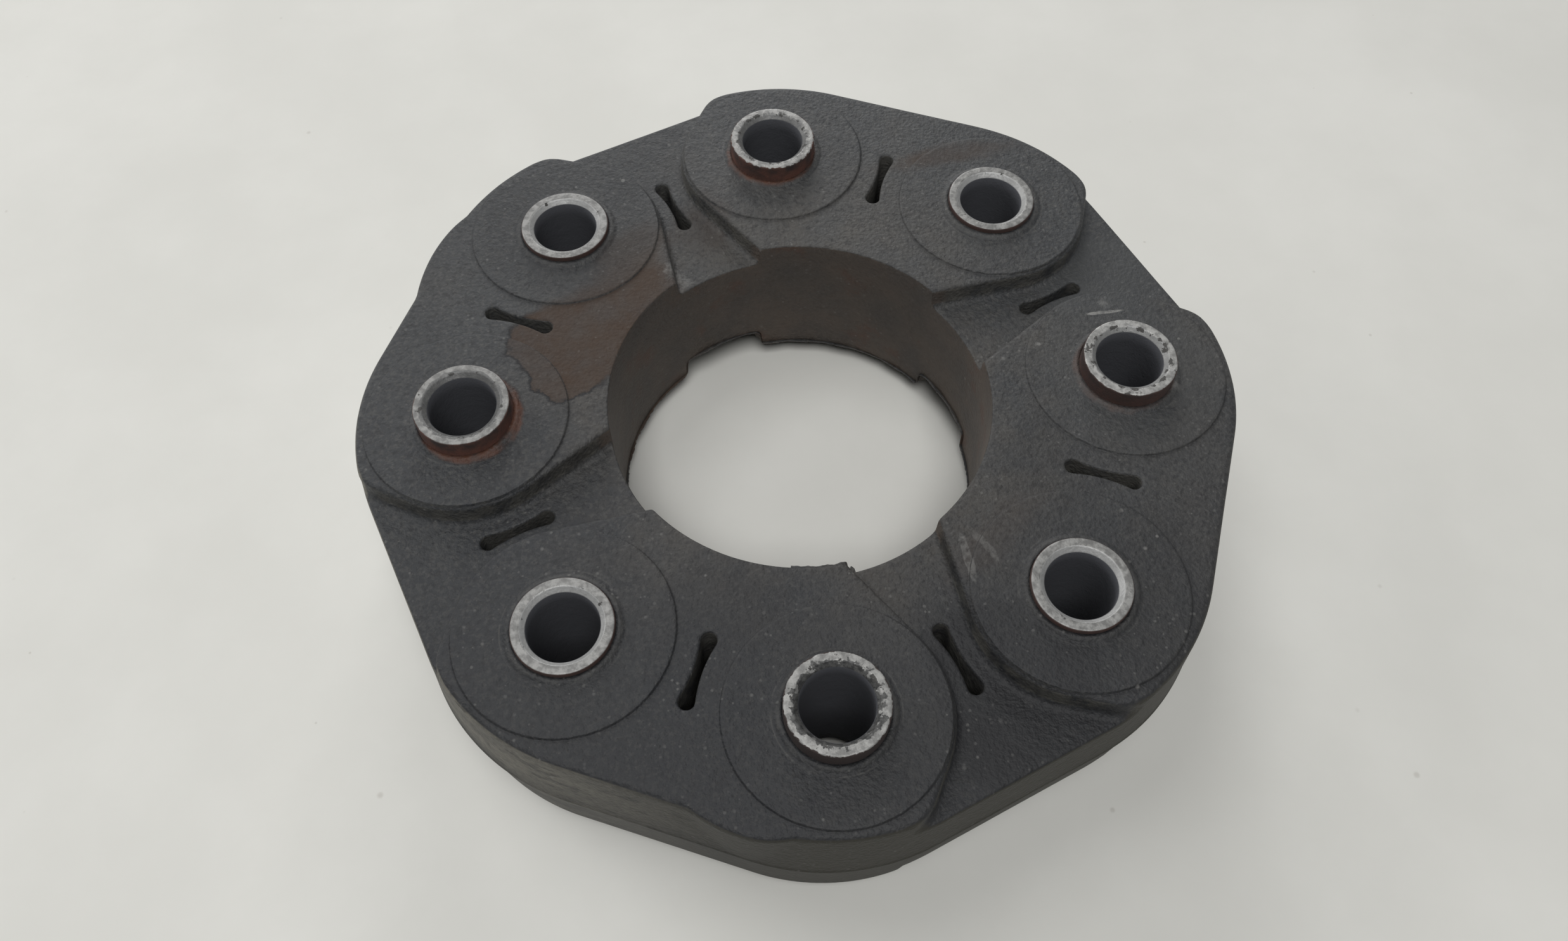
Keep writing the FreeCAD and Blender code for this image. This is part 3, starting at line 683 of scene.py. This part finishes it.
def cloud(scale, start, full):
    """Clouds in the rubber's surface."""
    return place_group(tree, clouds, Place=place, Scale=scale, Start=start, Full=full)["Mask"]


def ring(radius, half_width, soft=0.1):
    """Band about each sleeve, at a radius in mm."""
    off = maths(tree, "ABSOLUTE", maths(tree, "SUBTRACT", near["Distance"], radius))
    return mapped(tree, off, half_width, soft * half_width)


def blotch(spot, reach, tear, tear_scale, **shape):
    """Torn patch on the rubber about a spot in mm."""
    return place_group(tree, patch, Place=flat_place, Middle=(spot[0] * MM, spot[1] * MM, 0), Reach=reach,
                       Tear=tear, Tear_scale=tear_scale, **shape)


# The rubber itself: charcoal, greyer in wide patches and in a fine mottle, browner towards the hole.
colour = cover(tree, times(tree, cloud(30.0, 0.38, 0.68), 0.45), charcoal, worn_grey_and_sheen)
# Painted sheen: the rubber is lightened towards grey at the back, where the lamps behind it give a glancing
# gloss.
back = mapped(tree, axes["Y"], -0.05, 0.085)
colour = cover(tree, times(tree, back, 0.55), colour, worn_grey_and_sheen)
front = mapped(tree, axes["Y"], 0.0, -0.075)
near_hole = mapped(tree, from_middle, 0.062, 0.036)
colour = cover(tree, times(tree, near_hole, cloud(70.0, 0.3, 0.7), 0.42), colour, road_dust)
colour = cover(tree, times(tree, cloud(22.0, 0.52, 0.74), 0.25), colour, road_dust)
colour = cover(tree, times(tree, cloud(420.0, 0.40, 0.66), 0.24), colour, worn_grey_and_sheen)
colour = cover(tree, times(tree, cloud(1300.0, 0.48, 0.62), 0.40), colour, ash_dust_and_highlight)
colour = cover(tree, times(tree, cloud(1000.0, 0.50, 0.38), 0.45), colour, soot_and_shade)
# Painted shade: the front is darkened towards soot colour, as less light reaches it.
colour = cover(tree, times(tree, front, 0.6), colour, soot_and_shade)
# Painted shade along the disc's step and at the lip's foot, dust on the lip, and a painted highlight in a
# pale ring beside the lip's foot.
shade_dust_and_highlight_rings = ((ring(disc_mm + 0.25, 0.3), cloud(60.0, 0.3, 0.6), 0.3, soot_and_shade),
               (ring(lip_crown_mm, 0.6), cloud(240.0, 0.35, 0.6), 0.3, ash_dust_and_highlight),
               (ring(lip_foot_mm + 0.05, 0.25), cloud(120.0, 0.35, 0.55), 0.4, soot_and_shade),
               (ring(lip_foot_mm + 0.45, 0.2), cloud(130.0, 0.45, 0.6), 0.35, ash_dust_and_highlight))
for band, patchy, strength, tone in shade_dust_and_highlight_rings:
    colour = cover(tree, times(tree, band, patchy, strength), colour, tone)
# Upright walls: the outer one is pale with dust in level streaks, stronger on the left, where the extra pale
# colour is painted light from that side, and painted shade makes it dark at the front, less so towards the
# left.
# The hole's is red-brown.
setback = maths(tree, "MULTIPLY", maths(tree, "ABSOLUTE", axes["Z"]), draft / MM)
outer_wall = mapped(tree, maths(tree, "SUBTRACT", near["Inset"], setback), 0.8, 0.25)
outer_wall = times(tree, outer_wall, mapped(tree, maths(tree, "ABSOLUTE", upright), 0.8, 0.55))
# Painted light: the pale dust colour is made stronger on the left, the side the light comes from.
dust_and_light_side = maths(tree, "ADD", times(tree, mapped(tree, axes["X"], -0.01, -0.05), 0.85), 0.15)
level_place = put(tree, "ShaderNodeVectorMath", {0: place, 1: (1, 1, 4)}, operation="MULTIPLY").outputs[0]
streaks = place_group(tree, clouds, Place=level_place, Scale=60.0, Start=0.36, Full=0.64)["Mask"]
dashes = place_group(tree, clouds, Place=level_place, Scale=150.0, Start=0.57, Full=0.63)["Mask"]
crumbs = cloud(750.0, 0.42, 0.62)
upper_band = mapped(tree, axes["Z"], 0.001, 0.006)
wall_share = maths(tree, "ADD", times(tree, upper_band, 0.35), 0.3)
wall_share = maths(tree, "ADD", wall_share, times(tree, streaks, 0.35))
colour = cover(tree, times(tree, outer_wall, wall_share, dust_and_light_side), colour, wall_dust_and_light)
colour = cover(tree, times(tree, outer_wall, dashes, 0.55), colour, soot_and_shade)
colour = cover(tree, times(tree, outer_wall, crumbs, 0.3), colour, soot_and_shade)
# Painted shade: the outer wall is darkened at the front, fading out towards the left.
front_wall_shade = times(tree, outer_wall, front, mapped(tree, axes["X"], -0.045, 0.0), 0.85)
colour = cover(tree, front_wall_shade, colour, wall_shade_brown)
# Painted light: the recess walls are lightened in clouds with the pale wall colour, where the lamps leave
# them in shade.
past_hole = mapped(tree, from_middle, 0.036, 0.038)
recess_wall = times(tree, wall, mapped(tree, near["Inset"], 2.5, 4.0), past_hole)
colour = cover(tree, times(tree, recess_wall, cloud(200.0, 0.35, 0.6), 0.3), colour, wall_dust_and_light)
inner_wall = times(tree, wall, mapped(tree, from_middle, 0.038, 0.036))
wall_share = maths(tree, "ADD", times(tree, cloud(60.0, 0.3, 0.7), 0.5), 0.35)
colour = cover(tree, times(tree, inner_wall, wall_share), colour, hole_dust)
colour = cover(tree, times(tree, inner_wall, cloud(90.0, 0.56, 0.68), 0.4), colour, rust_stain)
# Films, stains and painted light: middle, reach, turn in degrees, stretch, tear, whether the border is torn
# and crisp at the lower left, strength and colour. The widest is dried mud beside the hole, and the others
# fade:
# more mud, darker patches and grey patches. The strongest dark patch, over the recess at the front, is
# painted shade, and the grey patch over the recess at the right is a painted sheen. All are thinner on the
# sleeves' discs.
films_and_painted_light = (((-35.2, 17.6), 10.6, 29, (0.62, 1.0, 1), 2.2, True, 1.0, dried_mud),
         ((-29.5, 36.5), 5.0, 45, (0.6, 1.2, 1), 3.0, False, 0.6, dried_mud),
         ((36.0, 56.2), 4.0, 10, (0.35, 1.5, 1), 4.0, False, 0.7, dried_mud),
         ((-16.0, 44.0), 6.0, 0, (1, 1, 1), 5.0, False, 0.3, dried_mud),
         ((31.0, -31.0), 4.0, 40, (0.4, 1.3, 1), 4.0, False, 0.3, dried_mud),
         ((-42.4, 42.4), 17.6, 0, (1.0, 1.0, 1), 0.5, False, 0.42, soot_and_shade),
         ((-26.8, 64.7), 12.0, 0, (1.0, 1.0, 1), 6.0, False, 0.25, soot_and_shade),
         ((-18.0, -43.4), 11.0, 0, (1.0, 1.0, 1), 6.0, False, 0.3, soot_and_shade),
         ((43.4, -18.0), 9.0, 0, (1.0, 1.0, 1), 6.0, False, 0.25, soot_and_shade),
         # painted shade over the recess at the front
         ((30.0, -62.0), 13.0, -65, (0.6, 1.0, 1), 6.0, False, 1.0, soot_and_shade),
         ((48.0, -42.0), 17.0, 0, (1.0, 1.0, 1), 6.0, False, 0.3, soot_and_shade),
         # painted sheen over the recess at the right
         ((64.0, 25.0), 12.0, 22, (0.8, 1.2, 1), 6.0, False, 0.8, worn_grey_and_sheen),
         ((61.0, 0.0), 17.0, 0, (1.0, 1.0, 1), 6.0, False, 0.5, worn_grey_and_sheen))
on_face = mapped(tree, upright, 0.5, 0.8)
on_disc = mapped(tree, near["Distance"], 18.7, 18.1)
mud_clouds = maths(tree, "ADD", times(tree, cloud(110.0, 0.3, 0.65), 0.45), 0.55)
mud_share = times(tree, on_face, mud_clouds, maths(tree, "SUBTRACT", 1.0, times(tree, on_disc, 0.35)))
matt = 0.0
for spot, reach, turn, stretch, tear, torn, strength, tone in films_and_painted_light:
    softness = 2.2
    squareness = 2.0
    tear_scale = 90.0
    if torn:
        diagonal = put(tree, "ShaderNodeVectorMath", {0: flat_place, 1: (1, 1, 0)}, operation="DOT_PRODUCT")
        towards = diagonal.outputs["Value"]
        softness = maths(tree, "ADD", times(tree, mapped(tree, towards, -0.040, -0.004), 2.6), 0.14)
        squareness = 9.0
        tear_scale = 200.0
    patch_mask = blotch(spot, reach, tear, tear_scale, Stretch=stretch, Turn=math.radians(-turn),
                  Softness=softness, Squareness=squareness)
    share = times(tree, patch_mask["Mask"], mud_share, strength)
    colour = cover(tree, share, colour, tone)
    if tone == dried_mud:
        matt = maths(tree, "MAXIMUM", share, matt)
    if torn:
        crisp = mapped(tree, towards, -0.022, -0.034)
        crack = times(tree, patch_mask["Edge"], crisp, on_face, cloud(160.0, 0.28, 0.42))
        colour = cover(tree, crack, colour, soot_and_shade)
# Rust that has crept out of three proud sleeves over the rubber's lip, a little further towards the hole:
# middle, reach and strength.
rust_spots = (((-59.2, -0.5), 9.4, 0.95), ((-0.4, 59.5), 9.1, 0.9), ((59.4, -0.5), 9.1, 0.35))
for spot, reach, strength in rust_spots:
    crept = blotch(spot, reach, 0.8, 260.0, Softness=0.35)
    share = times(tree, crept["Mask"], on_face, cloud(200.0, 0.25, 0.6), strength)
    colour = cover(tree, share, colour, rust_stain)
    colour = cover(tree, times(tree, crept["Edge"], cloud(150.0, 0.35, 0.6), 0.6 * strength), colour, soot_and_shade)
# Chalky scuffs (middle, reach, turn in degrees, stretch, tear and strength) and powder.
scuffs = (((58.9, 13.3), 3.2, 3, (0.9, 9.0, 1), 2.0, 0.6),
          ((59.3, 15.6), 1.6, 60, (1, 2.2, 1), 4.0, 0.2),
          ((24.8, -35.0), 5.0, -84, (1.0, 7.0, 1), 3.0, 0.22),
          ((28.0, -33.0), 4.0, -62, (1.0, 6.0, 1), 4.0, 0.14),
          ((68.0, -4.5), 0.8, 0, (1, 1, 1), 1.5, 0.3),
          ((-21.0, 31.5), 2.4, 0, (1.2, 1, 1), 6.0, 0.25))
for spot, reach, turn, stretch, tear, strength in scuffs:
    mark = blotch(spot, reach, tear, 450.0, Stretch=stretch, Turn=math.radians(-turn), Softness=0.8)
    colour = cover(tree, times(tree, mark["Mask"], on_face, cloud(500.0, 0.3, 0.6), strength), colour, chalk)
tiny = place_group(tree, specks, Place=place, Scale=1300.0, Radius=0.45, Share=0.16)["Mask"]
larger = place_group(tree, specks, Place=place, Scale=420.0, Radius=0.2, Share=0.1)["Mask"]
colour = cover(tree, times(tree, tiny, cloud(90.0, 0.3, 0.7), 0.22), colour, chalk)
colour = cover(tree, times(tree, larger, cloud(50.0, 0.45, 0.6), 0.35), colour, chalk)
tree.links.new(colour, shader.inputs["Base Color"])
tree.links.new(maths(tree, "ADD", times(tree, matt, 0.25), 0.6), shader.inputs["Roughness"])
skin_height = place_group(tree, grain, Place=place, Fine=1500.0, Coarse=330.0, Fine_share=0.5)["Height"]
bump = put(tree, "ShaderNodeBump", {"Height": skin_height, "Strength": 0.6, "Distance": 0.0009})
tree.links.new(bump.outputs["Normal"], shader.inputs["Normal"])
rubber.data.materials.append(rubber_skin)
for flash in flashes:
    flash.data.materials.append(rubber_skin)

# Steel sleeves.
# Each is a turned tube, zinc plated, pushed up or down so that every second one stands proud. The
# proud rims have lost plating in chips and their outsides rust; the flush ones are clean and dull.
bore_mm = frame["record"]["mounts"][0]["dims"]["r_mm"]
mouth_chamfer = 0.9
rim_round = 0.35
sleeve_sides = 160
face_start = bore_mm + mouth_chamfer
bare_steel = (0.055, 0.053, 0.050, 1)
dark_bore = (0.060, 0.062, 0.070, 1)
brown_rust = (0.135, 0.055, 0.038, 1)
dark_rust = (0.027, 0.018, 0.016, 1)


def sleeve_steel(name, plating, chamfer_grey, worn_width, chips, jag, rust_share, middle=None):
    """Plated steel: bright face, greyer chamfer with a jagged border, chips to dark steel, rusty outside."""
    material, tree, shader, coordinates = new_material(name, 0.5)
    place = coordinates["Object"]
    distance = place_group(tree, around, Place=place)["Distance"]

    def cloud(scale, start, full):
        return place_group(tree, clouds, Place=place, Scale=scale, Start=start, Full=full)["Mask"]

    dull, bright = [tuple(c * k for c in (1.0, 0.99, 0.95)) + (1,) for k in (plating * 0.55, plating)]
    colour = cover(tree, cloud(700.0, 0.38, 0.62), dull, bright)
    ragged = cloud(560.0, 0.3, 0.7)
    if middle:
        # Tool marks: the border runs out in short rays.
        spoke = put(tree, "ShaderNodeVectorMath", {0: place, 1: middle}, operation="SUBTRACT").outputs[0]
        spoke = put(tree, "ShaderNodeVectorMath", {0: spoke, 1: (1, 1, 0)}, operation="MULTIPLY").outputs[0]
        spoke = put(tree, "ShaderNodeVectorMath", {0: spoke}, operation="NORMALIZE").outputs[0]
        ragged = place_group(tree, clouds, Place=spoke, Scale=9.0, Start=0.35, Full=0.65)["Mask"]
    shift = times(tree, maths(tree, "SUBTRACT", ragged, 0.5), jag)
    border = maths(tree, "ADD", distance, shift)
    chamfer = mapped(tree, border, face_start + worn_width + 0.06, face_start + worn_width - 0.06)
    grey = tuple(chamfer_grey * c for c in (1.0, 1.0, 0.98)) + (1,)
    worn = maths(tree, "ADD", times(tree, cloud(1200.0, 0.4, 0.6), 0.25), 0.75)
    colour = cover(tree, times(tree, chamfer, worn), colour, grey)
    off_border = maths(tree, "ABSOLUTE", maths(tree, "SUBTRACT", distance, face_start))
    near_border = mapped(tree, off_border, 0.75, 0.1)
    likely = maths(tree, "ADD", cloud(620.0, 0.0, 1.0), times(tree, near_border, 0.14))
    chipped = mapped(tree, likely, 0.80 - chips, 0.84 - chips)
    colour = cover(tree, chipped, colour, bare_steel)
    bore = mapped(tree, distance, bore_mm + 0.14, bore_mm + 0.02)
    colour = cover(tree, bore, colour, dark_bore)
    rim = maths(tree, "SUBTRACT", distance, times(tree, shift, 0.25))
    outside = maths(tree, "MAXIMUM", mapped(tree, rim, sleeve_mm - 0.2, sleeve_mm - 0.08),
                    mapped(tree, distance, sleeve_mm - 0.06, sleeve_mm - 0.02))
    low = mapped(tree, put(tree, "ShaderNodeSeparateXYZ", {0: place}).outputs["Z"], 0.0192, 0.0165)
    rust = maths(tree, "ADD", times(tree, low, 0.5), times(tree, cloud(330.0, 0.36, 0.6), 0.5))
    rust = cover(tree, times(tree, rust, rust_share), dark_rust, brown_rust)
    colour = cover(tree, outside, colour, rust)
    tree.links.new(colour, shader.inputs["Base Color"])
    plated = maths(tree, "SUBTRACT", 1.0, maths(tree, "MAXIMUM", bore, outside))
    plated = times(tree, plated, maths(tree, "SUBTRACT", 1.0, chipped))
    tree.links.new(times(tree, plated, 0.35), shader.inputs["Metallic"])
    tree.links.new(maths(tree, "SUBTRACT", 0.85, times(tree, plated, 0.35)), shader.inputs["Roughness"])
    pits = place_group(tree, grain, Place=place, Fine=2600.0, Coarse=600.0, Fine_share=0.4)["Height"]
    pitted = maths(tree, "SUBTRACT", pits, times(tree, chipped, 0.5))
    bump = put(tree, "ShaderNodeBump", {"Height": pitted, "Strength": 0.5, "Distance": 0.0003})
    tree.links.new(bump.outputs["Normal"], shader.inputs["Normal"])
    return material


clean_steel = sleeve_steel("dull_zinc_plating", plating=0.265, chamfer_grey=0.34, worn_width=0.0,
                           chips=0.0, jag=0.1, rust_share=0.2)
steels = {
    "upper_sleeve_1": sleeve_steel("chipped_plating_dashed", plating=0.365, chamfer_grey=0.22,
                                   worn_width=0.05, chips=0.15, jag=0.6, rust_share=0.3),
    "upper_sleeve_2": sleeve_steel("chipped_plating_serrated", plating=0.29, chamfer_grey=0.12,
                                   worn_width=0.2, chips=0.09, jag=1.1, rust_share=0.85,
                                   middle=(0, pitch_mm * MM, 0)),
    "upper_sleeve_3": sleeve_steel("chipped_plating_bright_ring", plating=0.26, chamfer_grey=0.10,
                                   worn_width=0.35, chips=0.06, jag=0.5, rust_share=0.9),
    "upper_sleeve_4": sleeve_steel("chipped_plating_jagged", plating=0.30, chamfer_grey=0.03,
                                   worn_width=0.25, chips=0.075, jag=2.0, rust_share=0.0),
}
for turn_index in range(sleeve_count):
    side = 1 if turn_index % 2 == 0 else -1
    name = "%s_sleeve_%d" % ("upper" if side > 0 else "lower", turn_index // 2 + 1)
    low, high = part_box(name)
    x_mid = (low.x + high.x) / 2 / MM
    y_mid = (low.y + high.y) / 2 / MM
    z_low = low.z / MM
    z_high = high.z / MM
    profile = [(bore_mm, z) for z in np.linspace(z_low + mouth_chamfer, z_high - mouth_chamfer, 14)]
    # From the bore's chamfer over the face to the rounded rim: radius, and depth below the face.
    face_width = sleeve_mm - rim_round - face_start
    upper_end = [(bore_mm + k * mouth_chamfer, mouth_chamfer * (1 - k)) for k in (0.2, 0.5, 0.8, 1.0)]
    upper_end += [(face_start + k * face_width, 0) for k in (0.2, 0.5, 0.8)]
    for turn in np.radians(np.linspace(90, 0, 6)):
        upper_end.append((sleeve_mm - rim_round * (1 - math.cos(turn)), rim_round * (1 - math.sin(turn))))
    profile += [(r, z_high - depth) for r, depth in upper_end]
    profile += [(sleeve_mm, z) for z in np.linspace(z_high - rim_round, z_low + rim_round, 16)[1:-1]]
    profile += [(r, z_low + depth) for r, depth in reversed(upper_end)]
    rows = len(profile)
    turns = np.arange(sleeve_sides) * 2 * math.pi / sleeve_sides
    spots = [(x_mid + r * math.cos(t), y_mid + r * math.sin(t), z) for r, z in profile for t in turns]
    skin = []
    for row in range(rows):
        ahead = (row + 1) % rows
        for k in range(sleeve_sides):
            n = (k + 1) % sleeve_sides
            skin.append((row * sleeve_sides + k, ahead * sleeve_sides + k,
                         ahead * sleeve_sides + n, row * sleeve_sides + n))
    sleeve = new_piece("steel_" + name, spots, skin)
    sleeve.data.materials.append(steels.get(name, clean_steel))
    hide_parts(name)

# Cord loops.
# Polyester cord wound many times round a pair of sleeves; the rubber hides all of it.
cord_skin, tree, shader, coordinates = new_material("wound_polyester_cord", 0.85)
strands = put(tree, "ShaderNodeTexWave", {"Vector": coordinates["Object"], "Scale": 900.0, "Distortion": 1.5,
                                          "Detail": 2.0}, bands_direction="Z").outputs["Fac"]
colour = cover(tree, strands, (0.30, 0.26, 0.20, 1), (0.58, 0.53, 0.44, 1))
tree.links.new(colour, shader.inputs["Base Color"])
bump = put(tree, "ShaderNodeBump", {"Height": strands, "Strength": 0.5, "Distance": 0.0003})
tree.links.new(bump.outputs["Normal"], shader.inputs["Normal"])
for name, node in frame["nodes"].items():
    if "cord_loop" in name:
        node.data.materials.clear()
        node.data.materials.append(cord_skin)

# Floor.
# A plain pale sheet under the rims of the lower sleeves, warm white with faint smudges and freckles.
floor_level = min(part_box(name)[0].z for name in frame["nodes"])
floor_mesh = bpy.data.meshes.new("floor")
floor_reach = 1.1
floor_sides = 128
floor_turns = [2 * math.pi * k / floor_sides for k in range(floor_sides)]
floor_rim = [(floor_reach * math.cos(t), floor_reach * math.sin(t), floor_level) for t in floor_turns]
floor_mesh.from_pydata(floor_rim, [], [tuple(range(floor_sides))])
floor = bpy.data.objects.new("floor", floor_mesh)
bpy.context.scene.collection.objects.link(floor)
paper, tree, shader, coordinates = new_material("pale_floor", 0.85)
place = coordinates["Object"]
smudges = place_group(tree, clouds, Place=place, Scale=14.0, Start=0.3, Full=0.75)["Mask"]
colour = cover(tree, smudges, (0.645, 0.64, 0.60, 1), (0.70, 0.695, 0.655, 1))
freckles = place_group(tree, specks, Place=place, Scale=160.0, Radius=0.11, Share=0.12)["Mask"]
colour = cover(tree, times(tree, freckles, 0.3), colour, (0.30, 0.27, 0.23, 1))
tree.links.new(colour, shader.inputs["Base Color"])
floor_mesh.materials.append(paper)

# Light and camera.
# Four soft lamps: two stand low, behind the coupling and to its left, and give the rubber its sheen. Two
# hang high, so that the hole's floor stays light. Each is placed by the way it lies from the coupling.
lamp_distance = 1.3


def soft_lamp(name, bearing, climb, power, width=0.6):
    """Square lamp at a bearing from the back, clockwise from above, and at a climb over the floor."""
    bearing = math.radians(bearing)
    climb = math.radians(climb)
    way = Vector((math.sin(bearing) * math.cos(climb), math.cos(bearing) * math.cos(climb), math.sin(climb)))
    lamp = bpy.data.lights.new(name, "AREA")
    lamp.shape = "SQUARE"
    lamp.size = width
    lamp.energy = power
    stand = bpy.data.objects.new(name, lamp)
    stand.location = way * lamp_distance
    stand.rotation_euler = (-way).to_track_quat("-Z", "Y").to_euler()
    bpy.context.scene.collection.objects.link(stand)


soft_lamp("low_back", 0, 22, 6.6)
soft_lamp("low_left", -60, 22, 4.6)
soft_lamp("high_left", -45, 65, 3.6)
soft_lamp("high_front", 180, 68, 10.5)
# The room is pale where the camera or a reflection sees it, and gives next to no light of its own.
world = bpy.data.worlds.new("pale_room")
world.use_nodes = True
tree = world.node_tree
tree.nodes["Background"].inputs["Color"].default_value = (0.96, 0.98, 1.0, 1)
rays = tree.nodes.new("ShaderNodeLightPath").outputs
reflected = maths(tree, "MAXIMUM", rays["Is Glossy Ray"], rays["Is Transmission Ray"])
seen = maths(tree, "MAXIMUM", rays["Is Camera Ray"], reflected)
room_light = maths(tree, "ADD", times(tree, seen, 0.42), 0.03)
tree.links.new(room_light, tree.nodes["Background"].inputs["Strength"])
bpy.context.scene.world = world

# The camera's place was solved from the rims of the eight sleeves.
camera_spot = Vector((-0.01437, -0.11934, 0.1934))
camera_aim = Vector((-0.004434, -0.016921, 0.01725))
camera_roll = math.radians(0.55)
lens = bpy.data.cameras.new("camera")
lens.sensor_width = 36
lens.lens = 27.12
lens.clip_start = 0.01
camera = bpy.data.objects.new("camera", lens)
aim = (camera_aim - camera_spot).to_track_quat("-Z", "Y").to_matrix().to_4x4()
camera.matrix_world = Matrix.Translation(camera_spot) @ aim @ Matrix.Rotation(camera_roll, 4, "Z")
bpy.context.scene.collection.objects.link(camera)
bpy.context.scene.camera = camera
bpy.context.scene.view_settings.view_transform = "Standard"
